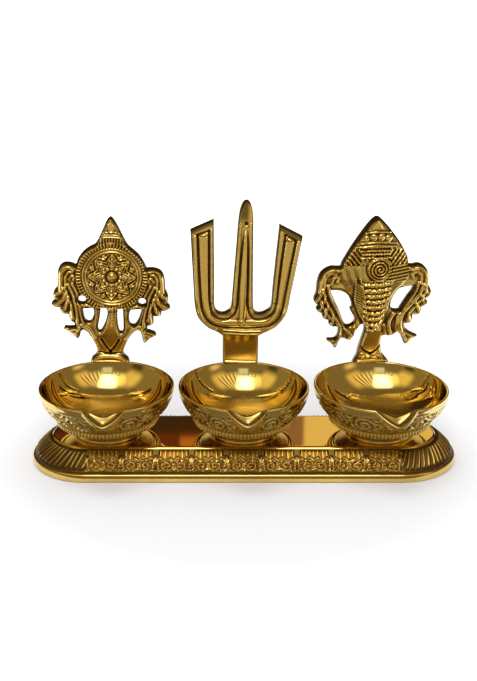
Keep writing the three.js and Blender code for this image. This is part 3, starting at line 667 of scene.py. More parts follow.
def draw_prongs(face):
    for points in PRONG_GROOVES:
        face.line(points, 0.8, -0.5)
    for points in ((-28.6, 72, -26.9, 48, -24.9, 32, -21.4, 24.2, -15, 20.2),
                   (28, 71, 25.7, 50, 23.6, 33, 20.6, 25, 15, 20.6),
                   (-19.6, 76, -18.8, 55, -17.9, 36), (18.6, 76, 17.4, 56, 16.6, 37),
                   (-4.6, 80, -4.9, 55, -5.3, 34), (1.6, 80, 2.6, 55, 3.2, 34)):
        face.line(points, 1.2, 0.5)
    face.line((-24, 72, -22.8, 48, -21.1, 33, -18.4, 26.6, -12, 23.4, 0, 23.4, 10, 24, 15.6, 26,
               19.2, 33, 20.6, 46, 23.4, 71), 2.7, 0.75)
    face.line((-0.9, 24, -1, 45, -1.2, 78), 2.1, 0.7)
    face.line((-10.4, 18.3, 0, 17.9, 9.4, 18.3), 0.5, -0.5)
    face.line((-10.6, 19.4, 0, 19.0, 10, 19.4), 0.45, 0.35)
    face.line((-9.6, 0.6, 9.2, 0.6), 0.9, 0.5)
    face.shine += 0.6 * (face.v < 17.6)
    # Darker bands along the slanted tops of the outer prongs and a dark patch on the cap.
    left_end = face.v - (81.7 - 0.496 * (-18.7 - face.u))
    right_end = face.v - (80.4 - 0.473 * (face.u - 16.8))
    face.stain_and_shade += 0.75 * smooth_step(left_end, -3.0, -1.6) * (face.u < -16)
    face.stain_and_shade += 0.75 * smooth_step(right_end, -3.6, -2.2) * (face.u > 15)
    cap = smooth_step(face.v, 79, 85) * smooth_step(-np.abs(face.u + 2.4), -3.4, -1.2)
    face.stain_and_shade += 0.8 * cap
    face.shine += 0.3 * (face.v >= 17.6)
    # Painted shade in the crooks at the bottom of the gaps between the prongs.
    for low, high in ((-17.5, -6.5), (4.5, 15.6)):
        face.stain_and_shade += 0.5 * smooth_step(-face.v, -31.4, -29.4) * (
            face.u > low) * (face.u < high) * (face.v > 28)


plate_piece("prong_plate_cast", "centre", "prong_plate", [outline(PRONG_EDGE)], 3, draw_prongs, 1.0)

# %% [markdown]
# ## The conch plate
#
# A shell with its point up: a smooth cap, tiers of beads and ribs, a coiled boss, a body of
# cross ribs that narrows downwards, and a hatched leaf beside it. The tiers follow curved
# lines, which makes the flat plate look round.

# %% Conch plate outline
CONCH_EDGE = [
    (-6.9, 2.6, -6, 4.6, -5.4, 8, -4.6, 11, -3.7, 14.2, -2.5, 18.5, -2.4, 21.2, -3.4, 22.4, -4.8, 22.2,
     -6.2, 20.2, -7.6, 18.2, -8.2, 16),
    (-9.9, 13.8, -11.5, 13.6, -13.3, 14.4, -15.2, 15.1),
    (-16.4, 13.6, -17.4, 11.2, -18.2, 9.5, -19.2, 9.4, -20.1, 11, -21.6, 12.4, -23.4, 13.6),
    (-22.8, 14.6, -20.8, 14.5, -18.8, 14.8, -17.6, 16.5, -17, 19.1, -17.2, 21.3),
    (-18.8, 21.8, -20.8, 21.9, -22.3, 23.1, -22.6, 24.7, -22, 25.9),
    (-24.2, 26.1, -25.8, 27.1, -26.4, 28.7, -26, 30.1),
    (-27.8, 30.3, -29.2, 31.4, -29.8, 32.7, -28.4, 34.5),
    (-30.2, 35.7, -31.2, 37.3, -31.2, 39.2, -30.2, 41.7, -29.9, 45.4, -29.5, 48.9, -28.6, 51.6, -27,
     53.9, -24.6, 55.6, -21.6, 56.6, -19, 56.4, -16.8, 56.4),
    (-16.1, 58.6, -13.6, 63.1, -10.6, 68.1, -7.2, 73.1, -3.8, 77.9, -0.9, 81.4, 1, 83.1, 2.8, 83.7,
     4.8, 82.6, 8.8, 78.4, 11.5, 75, 14.4, 71.2, 17, 67.2, 19.2, 63.2, 20.6, 60, 21, 56.6),
    (23.4, 56.2, 26.2, 56.7, 29.2, 55.8, 31.6, 53.4, 32.8, 50.4, 33.2, 47.4, 33, 44.6),
    (34.3, 42, 35, 39.6, 34.3, 37.7, 32.6, 36.7, 31.4, 36),
    (33, 34.6, 32.8, 33, 31.2, 31.9, 29.2, 31),
    (29.8, 29.2, 29, 27.6, 27, 26.8, 24.8, 26.8),
    (25, 24.6, 24, 22.7, 22, 22.1, 20.4, 22),
    (21.2, 19.4, 23.4, 17.2, 26, 15.6, 28.2, 14.6),
    (27, 13.5, 25, 12.6, 23.7, 10.9, 22.2, 9.9, 20.9, 10.1, 20, 12.6, 18.6, 15.3, 16.9, 16.9, 15.6,
     16.6),
    (14.2, 15.5, 12.2, 15.1, 10, 15.4, 7.9, 15.2),
    (7.4, 12.4, 7.4, 9.6, 7.8, 6.6, 8.6, 4.6, 10.4, 2.3, 12, 0.3),
] + plate_foot(-8.4, 12.4, 0) + [(-8, 0.4)]
CONCH_GAPS = [
    [(-16.8, 42.6, -13, 40.5, -10.7, 37, -9.9, 33.5, -10.8, 31.6, -9.4, 28.8, -8, 26.2, -8.4, 23.9,
      -10.2, 22.4, -12.2, 22.2, -13.8, 23.6, -15.4, 27.4, -17.4, 32.4, -19.8, 37.4, -22.2, 43)],
    [(20.6, 43.7, 16.6, 42.6, 14, 39.4, 12.4, 35.6, 12.2, 31.8, 14.4, 30.4, 16.8, 30.2), (18.5, 33.2,
                                                                                          21, 37.2,
                                                                                          23.2, 40.4,
                                                                                          24.8, 44.3)],
]
conch_chains = [outline(CONCH_EDGE)] + [outline(gap) for gap in CONCH_GAPS]


# %% Conch plate relief
def draw_shell(face):
    u, v = face.u - 1.9, face.v
    half = np.interp(v, [20, 28, 37, 46, 50, 55, 60, 67, 73, 81, 84],
                     [5.4, 7.4, 11, 17, 20, 21, 19.5, 15.5, 11.5, 5, 2.4])
    share = np.clip(np.abs(u) / half, 0, 1)
    face.add(2.0 * (1 - share ** 2), (share < 1) & (v > 19))
    curve = v - 3.4 * share ** 2
    ribs = 0.5 + 0.5 * wave(curve, 3.3)
    narrow = np.interp(v, [20, 28, 37, 46, 50], [3.4, 5.4, 7.6, 9.6, 10.6])
    body = (face.u > -4.4 + (v - 20) * -0.02) & (face.u < 2.2 + narrow) & (v < 49) & (v > 20)
    face.add(0.85 * ribs ** 0.7, body)
    dots = 0.5 + 0.5 * wave(face.u, 1.6)
    face.add(0.3 * dots * (1 - ribs), body & (np.floor(curve / 3.3) % 2 == 0))
    face.chasing(21, 0.14, body)
    right = (u > 6.4) & (v >= 47.6) & (v < 57.6) & (share < 0.93)
    face.add(0.45 * wave(v - 0.12 * u, 1.9), right)
    cheek = smooth_step(-u, 5, 8) * soft_band(v, 44, 48, 55, 58)
    cheek = cheek * (share < 0.93)
    face.add(0.18 * wave(u + 0.25 * v, 4.6), cheek)
    # Painted shade over the cheek, which darkens it a little.
    face.stain_and_shade += 0.22 * cheek
    tier = (v >= 57.4) & (v < 68.2) & (share < 0.95)
    face.chasing(22, 0.14, tier)
    middle = tier & (np.abs(u) < 8) & (v > 61)
    face.add(0.4 * wave(v + 1.5 * share ** 2, 2.0) + 0.25 * dots, middle)
    fan = wave(np.abs(u) * 0.8 - v * 0.62, 2.1)
    face.add(0.5 * fan, tier & (np.abs(u) >= 8) & (v < 66.5))


def draw_conch(face):
    draw_shell(face)
    for level, rise in ((68.8, 0.9), (70.6, 0.8), (76.4, 1.0)):
        face.line((-9, level - 0.9, 2, level + 0.1, 13, level - 0.9), 0.75, rise)
    for u in (-4.6, -0.2, 4.2, 8.4):
        face.dome(u, 73.6 - 0.02 * (u - 2) ** 2, 2.2, 1.1)
    u, v = 3.9, 55.6
    away, turn = face.around(u, v)
    face.add(1.1 * half_round(away, 8.4), away < 7.4)
    face.add(0.5 * wave(away, 1.75, turn), away < 6.4)
    face.ring(u, v, 7.2, 0.6, -0.6)
    face.line((-8.8, 50, -9, 42, -8.4, 36, -6, 29, -2.6, 23), 0.6, 0.6)
    face.line((-6.6, 50, -4.2, 42, -3, 34, -1.4, 26), 0.6, 0.6)
    for step in range(17):
        level = 48 - 1.5 * step
        left = np.interp(level, [23, 29, 36, 42, 50], [-2.6, -6, -8.4, -9, -8.8])
        right = np.interp(level - 2.4, [23, 26, 34, 42, 50], [-1.2, -1.6, -3.2, -4.4, -6.8])
        face.line((left, level, right, level - 2.6), 0.55, 0.75)
    wings = [
        ((-28.6, 44, -28.4, 49, -26.4, 53.6, -22.6, 55.6, -18.6, 55), 1.6, 0.9),
        ((-26, 45, -25.6, 50, -22.8, 53, -19.6, 52.4), 0.9, 0.6),
        ((-22.4, 47, -20.6, 50.4, -18.4, 50.4, -18.6, 48), 0.9, 0.6),
        ((-26.6, 44, -24.6, 37, -20.8, 30, -17, 23, -16.4, 18, -18.6, 12), 1.1, 0.9),
        ((-24, 46, -22, 39, -18.2, 31.6, -15, 25, -13.8, 21.4), 1.0, 0.7),
        ((-28.6, 43, -27.6, 37, -25, 32, -22, 27.4), 0.8, 0.6),
        ((-27, 42, -29, 39.6, -30, 38), 1.1, 0.8),
        ((-25.6, 38.6, -27, 35, -28.4, 33), 1.1, 0.8),
        ((-23.6, 34.6, -24.6, 31, -25.2, 29), 1.1, 0.8),
        ((-20.6, 29, -20.8, 26, -21.4, 24), 1.0, 0.8),
        ((-17, 16.6, -20, 15, -22.6, 14), 0.7, 0.5),
        ((-14, 21, -12, 19.4, -10.4, 17, -11, 14.8), 1.1, 0.8),
        ((-9.4, 22, -8, 21, -7.6, 18.6), 0.7, 0.5),
        ((31.4, 45, 31.2, 50, 29, 54, 25.6, 55.4, 22.4, 54.6), 1.6, 0.9),
        ((28.4, 46, 28, 50.6, 25.4, 52.8, 23, 51.4, 23.6, 49.4), 1.1, 0.7),
        ((29.6, 45, 27.4, 39, 22.6, 33.4, 18.6, 28, 17.4, 21, 20.6, 13), 1.1, 0.9),
        ((27, 46, 24.4, 39.6, 20, 33, 16.6, 28, 15.6, 21.6, 16.2, 18), 1.0, 0.7),
        ((31.4, 44, 29.8, 38, 26, 33, 22, 28, 21.4, 24), 0.8, 0.6),
        ((30.6, 42.6, 32.4, 40.4, 33.6, 39.4), 1.1, 0.8),
        ((28.6, 39, 30.2, 36, 31.6, 34), 1.1, 0.8),
        ((26, 34.4, 27.4, 31.4, 28.4, 29.2), 1.1, 0.8),
        ((21.8, 28, 22.4, 26, 23.2, 24), 1.0, 0.8),
        ((20.4, 17, 23.6, 15.8, 26.6, 14.8), 0.7, 0.5),
        ((14, 29.4, 11.6, 25.6, 11, 21, 12.4, 17), 1.2, 0.9),
        ((8.4, 22, 9, 19, 9.4, 16.6), 0.8, 0.6),
    ]
    for points, width, rise in wings:
        face.line(points, 1.25 * width, 1.15 * rise)
    face.line((-3.4, 19.6, 0, 21.6, 3.2, 19, 6, 21.6), 0.8, -0.7)
    face.line((-5, 10.4, -2.4, 7.4, 1.2, 5.4), 0.8, -0.8)
    face.line((6.8, 10, 4.4, 7.4, 1.2, 5.4), 0.8, -0.8)
    face.dome(-3.4, 4.2, 2.0, 0.6)
    face.dome(3.6, 3.8, 2.4, 0.7)
    face.line((-8, 0.9, 2, 1.4, 12, 0.9), 0.9, 0.7)


plate_piece("conch_plate_cast", "right", "conch_plate", conch_chains, 0, draw_conch, 2.2)

# %% [markdown]
# ## The lamps
#
# A lamp is turned, apart from its lip. Its half section is swept round the middle, and near
# the front each point is also pulled out and down by its own amount, so that the rim opens
# into a pouring lip with a keel under it. A second pass along the outside raises the cast
# scrolls between the smooth rim band and the bead row.

# %% Lamp section
BEAD_RADIUS, BEAD_HEIGHT = 26.3, 8.8
LIP_REACH, LIP_DROP, LIP_HALF_ANGLE, LIP_ROUNDING = 7.2, 5.9, 17.5, 0.2
WALL_STEPS, WALL_RADIUS, WALL_WAY = 52, 31.5, 18.2
WELL_FLOOR, WELL_RADIUS, WELL_ROWS = 5.6, 14, 53
SCROLLS, SCROLL_MIDDLE, SCROLL_START = 14, 9.8, 7


def lamp_section(rim):
    """Rows of radius, height, reach, drop, dish, width, wall share and polish, inside to foot."""
    top = LAMP_HEIGHT

    def still(points, polish):
        return [[r, z, 0, 0, 0, 1, -1, polish] for r, z in points]

    rows = still([[r, WELL_FLOOR + 1.9 * (r / WELL_RADIUS) ** 2]
                  for r in np.linspace(0, WELL_RADIUS - 0.5, 9)], 1)
    inner = bend([WELL_RADIUS, WELL_FLOOR + 1.9], [rim - 5.9, 12.9], [rim - 1.85, top - 0.9], 44)
    for r, z in inner:
        near = max(0.0, (z - top + 3) / 2.1)
        rows.append([r, z, 0.2 * near, 1.2 * near, 1.2 * near ** 2, 0.94, -1, 1])
    for share in np.linspace(0.12, 1, 9):
        rows.append([rim - 1.8 + 0.5 * share, top - 0.4 + 0.4 * math.sin(share * math.pi / 2),
                     5.2 * share, 1.2 + 4.8 * share, 1.9 * math.sin(math.pi * share) + 0.6 * share,
                     0.94, -1, 0.8])
    rows += [
        [rim - 1.25, top + 0.02, 5.4, 5.4, 0.2, 0.97, -1, 0.95],
        [rim - 0.7, top + 0.03, 6.2, 5.1, 0, 1, -1, 0.95],
        [rim - 0.3, top - 0.05, 6.8, 5.2, 0, 1, -1, 0.9],
        [rim - 0.05, top - 0.4, 7.1, 5.5, 0, 1, -1, 0.8],
    ]
    foot = BEAD_HEIGHT + 1.6
    wall = bend([rim, top - 1.2], [rim - 2.2, top - 11], [BEAD_RADIUS + 0.4, foot], WALL_STEPS)
    for i, (r, z) in enumerate(wall):
        share = np.clip((z - foot) / (top - 1.2 - foot), 0, 1)
        rows.append([r, z, LIP_REACH * share ** 1.2, LIP_DROP * share ** 2, 0,
                     0.35 + 0.65 * share, i / WALL_STEPS, 0.45])
    rows += still([[26.9, 9.6], [27.0, 8.8], [26.6, 8.2], [25.2, 7.3], [24.2, 6.6], [24.4, 6.2],
                   [23.9, 5.8], [23, 5.5], [21, 4.9], [18.6, 3.7], [16.8, 3], [16.5, 2.4],
                   [17.0, 1.9], [17.9, 1.6], [18.2, 1.2], [18.2, 0.3], [17.9, -0.24],
                   [15.6, -0.24], [14.8, 3.6], [0, 3.6]], 0.5)
    return np.array(rows)


def lip_share(angle, half):
    """How much of the lip there is at an angle: a V with a rounded point."""
    spread = np.minimum(np.abs(angle) / half, 1)
    fall = np.hypot(spread, LIP_ROUNDING) - LIP_ROUNDING
    return 1 - fall / (math.hypot(1, LIP_ROUNDING) - LIP_ROUNDING)


# %% Scrolls on the outside of a lamp
def scrolls(around, down, angle):
    """Height of the cast scrolls, from millimetres round and down the wall."""
    pitch = 2 * math.pi * WALL_RADIUS / SCROLLS
    cell = np.floor(around / pitch)
    x = (around / pitch - cell - 0.5) * pitch
    hand = np.where(cell % 2 == 0, 1.0, -1.0)
    y = down - SCROLL_MIDDLE
    away, turn = np.hypot(x * hand, 1.05 * y), np.arctan2(y, x * hand)
    coil = wave(away, 2.9, turn)
    shape = smooth_step(away, 5.6, 6.4)
    corner = np.hypot(np.abs(x) - pitch / 2, np.abs(y) - 6.6)
    leaf = wave(corner, 2.4)
    zone = soft_band(down, 3.6, 4.4, 16.2, 17.2)
    calm = smooth_step(np.abs(angle), math.radians(12), math.radians(17))
    line = 0.4 * np.exp(-((down - 2.7) / 0.4) ** 2)
    return 0.5 * (coil * (1 - shape) + leaf * shape) * zone * calm + line


# %% Build a lamp
def slanted(side, out, angle, level):
    """Points round a lamp, in rows, from distance, angle and height, with its rim's slant."""
    slope = math.tan(math.radians(SLANT[side])) / LAMP_HEIGHT
    x, y = out * np.sin(angle), -out * np.cos(angle)
    level = level - slope * x * np.maximum(level, 0)
    return in_place(np.stack([x, y, level], axis=-1).reshape(-1, 3), side)


def lamp_piece(side, columns=440):
    section = lamp_section(RIM[side])
    even = np.arange(columns) * 2 * math.pi / columns
    angle = even - 0.45 * np.sin(even)
    angle = np.arctan2(np.sin(angle), np.cos(angle))
    radius, height, reach, drop, dish, width, share, polish = (
        section[:, :, None].transpose(1, 0, 2))
    half_lip = math.radians(LIP_HALF_ANGLE)
    lip = lip_share(angle, half_lip * width)
    out = radius + reach * lip
    level = height - drop * lip - dish * lip ** 2
    wall = share >= 0
    down = np.where(wall, share, 0) * WALL_WAY
    raised = np.where(wall, scrolls((angle + SCROLL_START) * WALL_RADIUS, down, angle), 0)
    edge = np.abs(angle) / half_lip - 0.95 + down / 11
    raised = raised + 0.7 * np.exp(-(edge / 0.13) ** 2) * wall * (down > 0.4) * (down < 10)
    points = slanted(side, out + raised * 0.85, angle, level - raised * 0.4)
    # Below the rim band the outer wall gets painted shade all over, with patina deeper in the scroll
    # hollows.
    patina_and_shade = np.where(wall, np.clip(0.30 - raised * 1.2, 0, 0.75) * (down > 3.2), 0)
    # Painted shade in a stripe down the keel under the lip.
    keel = np.clip(1 - np.abs(angle) / math.radians(5), 0, 1) * (down > 2)
    patina_and_shade = np.maximum(patina_and_shade, 0.65 * keel * wall)
    row = np.arange(len(section))[:, None]
    # Painted shade inside the bowl, darker towards the bottom of the well.
    patina_and_shade = np.where(row < WELL_ROWS, 0.7 * (1 - smooth_step(height, 8, 13)), patina_and_shade)
    # Painted shade in the channel of the pouring lip.
    patina_and_shade = np.maximum(patina_and_shade, 0.62 * lip * (~wall) * (height > 20))
    # Painted shade under the bead row, on the foot.
    under = (~wall) & (row > np.argmax(wall))
    patina_and_shade = np.where(under & (height > 1.7) & (height < 7.9), 0.45, patina_and_shade)
    faces = grid_faces(len(section), columns)[:, ::-1]
    bowl = cast_piece(f"{side}_bowl_cast", points, faces, patina_and_shade.ravel(),
                      (polish + 0 * lip).ravel(), f"{side}_lamp", "bowl_brass")
    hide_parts(f"{side}_bowl")


def bead_row(side, count=90, steps=10):
    """A row of small lozenges round the foot of the wall."""
    columns = count * steps
    angle = np.arange(columns) * 2 * math.pi / columns
    bead = np.abs(np.sin(angle * count / 2)) ** 0.7
    turn = np.linspace(-1.9, 1.9, 9)[:, None]
    size = 0.3 + 1.15 * bead
    out = BEAD_RADIUS + 0.35 + size * np.cos(turn)
    level = BEAD_HEIGHT + size * 1.25 * np.sin(turn) + 0.1
    # Painted shade between the beads.
    patina_and_shade = np.broadcast_to(np.clip(0.95 - 2.0 * bead, 0, 1), out.shape)
    cast_piece(f"{side}_bowl_beads", slanted(side, out, angle, level),
               grid_faces(len(turn), columns), patina_and_shade.ravel(), 0.85, f"{side}_lamp",
               "bowl_brass")


for side in RIM:
    lamp_piece(side)
    bead_row(side)

# %% [markdown]
# ## Lugs and tabs behind the rims
#
# Each plate hangs a short tab behind the rim, and two small screws go through it into a lug
# on the bowl. Both are simple blocks, so a cube with bevelled edges is the plain way.


# %% Lugs and tabs
def block(name, side, low, high, slot, undercut=0.0):
    """A block with softened edges, between two corners; undercut slopes its inner face."""
    low, high = np.array(low), np.array(high)
    mesh = bpy.data.meshes.new(name)
    form = bmesh.new()
    bmesh.ops.create_cube(form, size=1)
    for vert in form.verts:
        spot = low + (high - low) * (np.array(vert.co) + 0.5)
        if vert.co.y < 0 and vert.co.z > 0:
            spot[1] += undercut
        vert.co = Vector(in_place([spot], side)[0] * MM)
    bmesh.ops.bevel(form, geom=form.edges[:], offset=0.35 * MM, segments=3, affect="EDGES")
    for flat in form.faces:
        flat.smooth = True
    form.to_mesh(mesh)
    form.free()
    piece(name, mesh, 0.35, 0.2, f"{side}_lamp", slot)


for side, plate in (("left", "wheel"), ("centre", "prong"), ("right", "conch")):
    rim, foot = RIM[side], LAMP_HEIGHT - TAB_DROP
    block(f"{plate}_plate_tab", side, (-7, rim + 0.6, foot),
          (7, rim + TAB_REACH, LAMP_HEIGHT + 0.5), "plate_brass")
    block(f"{side}_bowl_lug", side, (-7, rim - 5, foot), (7, rim + 0.3, LAMP_HEIGHT - 1.6),
          "bowl_brass", 4.0)

# %% [markdown]
# ## The stand
#
# The stand is one section carried round a long rounded plan. Its top is flat and mirror
# bright, its skirt carries palmettes, short flutes over a scalloped leaf, with plain panels
# between, and a plain band with a dark groove above it runs round the foot.

# %% Stand plan and section
STAND_LENGTH, STAND_DEPTH, TOP_HALF = 231.0, 64.4, 20.0
EDGE = STAND_DEPTH / 2
SPINE = STAND_LENGTH / 2 - EDGE
BAND, UNDERSIDE = 5.3, 12.4
SKIRT_RADIUS, SKIRT_WAY, SKIRT_STEPS = 26.5, 14.2, 44
PITCH, SKIRT_RELIEF = 18.4, 0.8


def stand_plan(step=0.36):
    """The way gone round the skirt, points along the spine, outward directions and the ends."""
    half = 2 * SPINE + math.pi * SKIRT_RADIUS
    way = np.arange(0, 2 * half, 2 * half / round(2 * half / step))
    back = way >= half
    along = way - half * back
    hand = np.where(back, -1, 1)
    end = along >= 2 * SPINE
    angle = (along - 2 * SPINE) / SKIRT_RADIUS - math.pi / 2
    x = hand * np.where(end, SPINE, along - SPINE)
    nx = hand * np.where(end, np.cos(angle), 0)
    ny = hand * np.where(end, np.sin(angle), -1)
    return way, x, nx, ny, end


def stand_section():
    """Rows of radius, height, share of the skirt, patina and painted shade, and polish, top to
    underside.
    """

    def plain(rows):
        return [[r, z, -1, patina_and_shade, polish] for r, z, patina_and_shade, polish in rows]

    top, brow = PLATEAU, (TOP_HALF + 0.8, PLATEAU - 0.8)
    shoulder = (EDGE - 1.4, BAND)
    rows = plain([[r, top, 0, 0.95] for r in (0, 6, 12, 17, TOP_HALF - 0.8)])
    rows += plain([[TOP_HALF - 0.2, top - 0.02, 0, 0.9], [TOP_HALF + 0.3, top - 0.2, 0, 0.9],
                   [*brow, 0, 0.8]])
    pull = [(a + b) / 2 + 0.6 for a, b in zip(brow, shoulder)]
    for i, (r, z) in enumerate(bend(brow, pull, shoulder, SKIRT_STEPS)[1:]):
        rows.append([r, z, (i + 1) / SKIRT_STEPS, 0, 0.45])
    # The fourth value darkens the groove above the band, and as painted shade the underside.
    rows += plain([
        [EDGE - 1.45, BAND - 0.2, 0.7, 0.3], [EDGE - 1.5, BAND - 0.5, 0.95, 0.1],
        [EDGE - 1.3, BAND - 0.75, 0.7, 0.2], [EDGE - 0.95, BAND - 0.7, 0.1, 0.6],
        [EDGE - 0.5, BAND - 0.9, 0, 0.75], [EDGE - 0.18, BAND - 1.35, 0, 0.75],
        [EDGE - 0.02, BAND - 2.1, 0, 0.7], [EDGE, 2.4, 0, 0.7], [EDGE - 0.04, 1.4, 0, 0.7],
        [EDGE - 0.2, 0.6, 0.1, 0.6], [EDGE - 0.6, 0, 0.4, 0.3], [EDGE - 3, 0, 0.4, 0.2],
        [EDGE - 3.1, 0.4, 0.5, 0.1], [EDGE - 3.1, 3.8, 0.5, 0.1],
        [TOP_HALF - 1.5, UNDERSIDE, 0.5, 0.1], [8, UNDERSIDE, 0.5, 0.1],
        [0, UNDERSIDE, 0.5, 0.1],
    ])
    return np.array(rows)


# %% Relief on the skirt
def wander(way, seed, reach):
    """A smooth, seeded drift along the way, for carving that was cut by hand."""
    dice = np.random.default_rng(seed)
    total = np.zeros(way.shape)
    for wave in (31.0, 17.0, 9.0):
        total += np.sin(2 * math.pi * (way / wave + dice.random()))
    return reach * total / 3


def palmettes(way, share, end, pitch):
    """Flutes over a pair of curled leaves, once every pitch, and long flutes on the ends."""
    y = share * SKIRT_WAY
    x = (way / pitch - np.floor(way / pitch) - 0.5) * pitch + wander(way, 3, 0.6)
    side = np.abs(x)
    hem = 6.4 + 0.8 * wave(x, 4.6) + wander(way, 5, 0.7)
    flutes = np.abs(np.cos(math.pi * x / (2.2 + 0.02 * y))) ** 1.2 * smooth_step(y, 0.5, 1.6)
    flutes = flutes * (1 - smooth_step(y - hem, -1.0, 0)) * (1 - smooth_step(side, 6.6, 7.8))
    scallop = np.exp(-((y - hem - 0.5) / 0.38) ** 2) * (1 - smooth_step(side, 7.4, 8.4))
    away = np.hypot(side - 3.7, y - 10.3)
    spin = np.arctan2(y - 10.3, side - 3.7)
    curl = (0.5 + 0.5 * wave(away, 2.1, spin)) * (1 - smooth_step(away, 3.0, 3.9))
    bud = half_round(np.hypot(x, y - 9), 1.2) + half_round(np.hypot(x, y - 12), 1.3)
    lean = side - pitch / 2 + 0.9 + 0.12 * (y - 8)
    leaf = half_round(np.hypot(lean, (y - 8.4) / 4.4), 1)
    frill = np.abs(np.sin(math.pi * (x + 0.6 * y) / 1.9)) * smooth_step(y, 12.0, 12.8)
    carved = soft_band(y, 7.4, 8.4, 13.2, 14.0)
    scratch = np.sin(2 * math.pi * (way + 0.9 * y) / 3.1 + wander(way, 9, 4)) * np.sin(
        2 * math.pi * (1.1 * y - 0.4 * way) / 3.4 + wander(way, 10, 4))
    flat = flutes + 0.6 * (scallop + bud + leaf) + 0.95 * curl + 0.5 * frill
    flat = flat + 0.3 * scratch * carved
    curve = way + 0.35 * y + wander(way, 12, 0.7)
    long = np.abs(np.sin(math.pi * curve / 3.0)) ** 6 + 0.5 * np.abs(
        np.sin(math.pi * curve / 1.5 + 0.6)) ** 8
    long = 0.8 * long * soft_band(y, 0.6, 2.4, 11.4, 13.4)
    return np.where(end, long, flat)


# %% Build the stand
way, plan_x, plan_nx, plan_ny, end = stand_plan()
section = stand_section()
around = way[-1] + way[1]
pitch = around / round(around / PITCH)
radius, height, share, patina_and_shade, polish = section[:, :, None].transpose(1, 0, 2)
on_skirt = share >= 0
raised = np.where(on_skirt, palmettes(way, share, end, pitch), 0)
raised = raised * soft_band(share, 0.02, 0.07, 0.95, 0.99)
out = radius + raised * SKIRT_RELIEF
level = height + raised * SKIRT_RELIEF
centre = lamp_middle("centre")
points = np.stack([plan_x + out * plan_nx, centre[1] + out * plan_ny, level], axis=-1)
# Painted shade over the skirt: dark between the crests of the relief, and darker still on the rounded
# ends.
shade = np.clip(np.where(end, 1.3, 0.84) - raised * 1.15, np.where(end, 0.42, 0), 0.95)
shade = np.where(on_skirt, shade, patina_and_shade)
buffed = np.clip(polish + 0.8 * np.clip(raised - 0.3, 0, 1), 0, 1)
stand = cast_piece("stand_cast", points.reshape(-1, 3),
                   grid_faces(len(section), len(way))[:, ::-1], shade.ravel(),
                   buffed.ravel(), "stand", "stand_brass")
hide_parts("stand")

# %% [markdown]
# ## Screws and washers
#
# The fixings are small and plain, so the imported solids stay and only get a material.

# %% Fixings
for name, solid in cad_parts.items():
    if "screw" in name or "washer" in name:
        solid.data.materials.clear()
        solid.data.materials.append(FIXING_BRASS)

# %% [markdown]
# ## Floor, room and light
#
# Polished metal is only as good as what it mirrors. The floor is pale and lit softly, but brass
# that sees nothing but white looks like paint. So cards stand round the set, and only its
# reflections see them. A window high in front makes the bright patch inside each lamp. A sunlit
# wall stands on its left, and pale walls with the folds of a curtain on its right. The flat top of
# the stand mirrors what is behind: brown and orange on the left, gold on the right.

# %% Floor and world
def background_seen(tree):
    """1 for camera, mirror and glass rays, and 0 for the rays that light the set."""
    ray = make(tree, "LightPath").outputs
    seen = number(tree, "MAXIMUM", ray["Is Camera Ray"], ray["Is Glossy Ray"])
    return number(tree, "MAXIMUM", seen, ray["Is Transmission Ray"])


floor_mesh = bpy.data.meshes.new("floor")
form = bmesh.new()
bmesh.ops.create_circle(form, cap_ends=True, segments=96, radius=6)
form.to_mesh(floor_mesh)
form.free()
linked("floor", floor_mesh)
paper, tree = new_material("White_paper")
sheet = tree.nodes["Principled BSDF"]
fill(tree, sheet, {
    "Base Color": (0.8, 0.8, 0.81, 1), "Roughness": 0.9, "Specular IOR Level": 0.0,
})
away = make(tree, "VectorMath", {0: make(tree, "TexCoord").outputs["Object"]},
            operation="LENGTH")
ramp = make(tree, "MapRange", {
    "Value": away.outputs["Value"], "From Min": 0.11, "From Max": 0.42, "To Min": 0.08,
    "To Max": 1.0,
})
glow = make(tree, "Emission", {
    "Strength": number(tree, "MULTIPLY", background_seen(tree), ramp.outputs[0]),
})
both = make(tree, "AddShader", {0: sheet.outputs[0], 1: glow.outputs[0]})
fill(tree, tree.nodes["Material Output"], {"Surface": both.outputs[0]})
floor_mesh.materials.append(paper)

world = bpy.data.worlds.new("studio")
bpy.context.scene.world = world
world.use_nodes = True
tree = world.node_tree
fill(tree, tree.nodes["Background"], {
    "Color": (1, 1, 1, 1),
    "Strength": number(tree, "MULTIPLY_ADD", background_seen(tree), 0.25, 0.75),
})


# %% Reflection cards
def aim(obj, middle, target, axis):
    """Puts an object in its place and turns one of its axes to a target."""
    obj.location = middle
    obj.rotation_euler = (Vector(target) - Vector(middle)).to_track_quat(axis, "Y").to_euler()


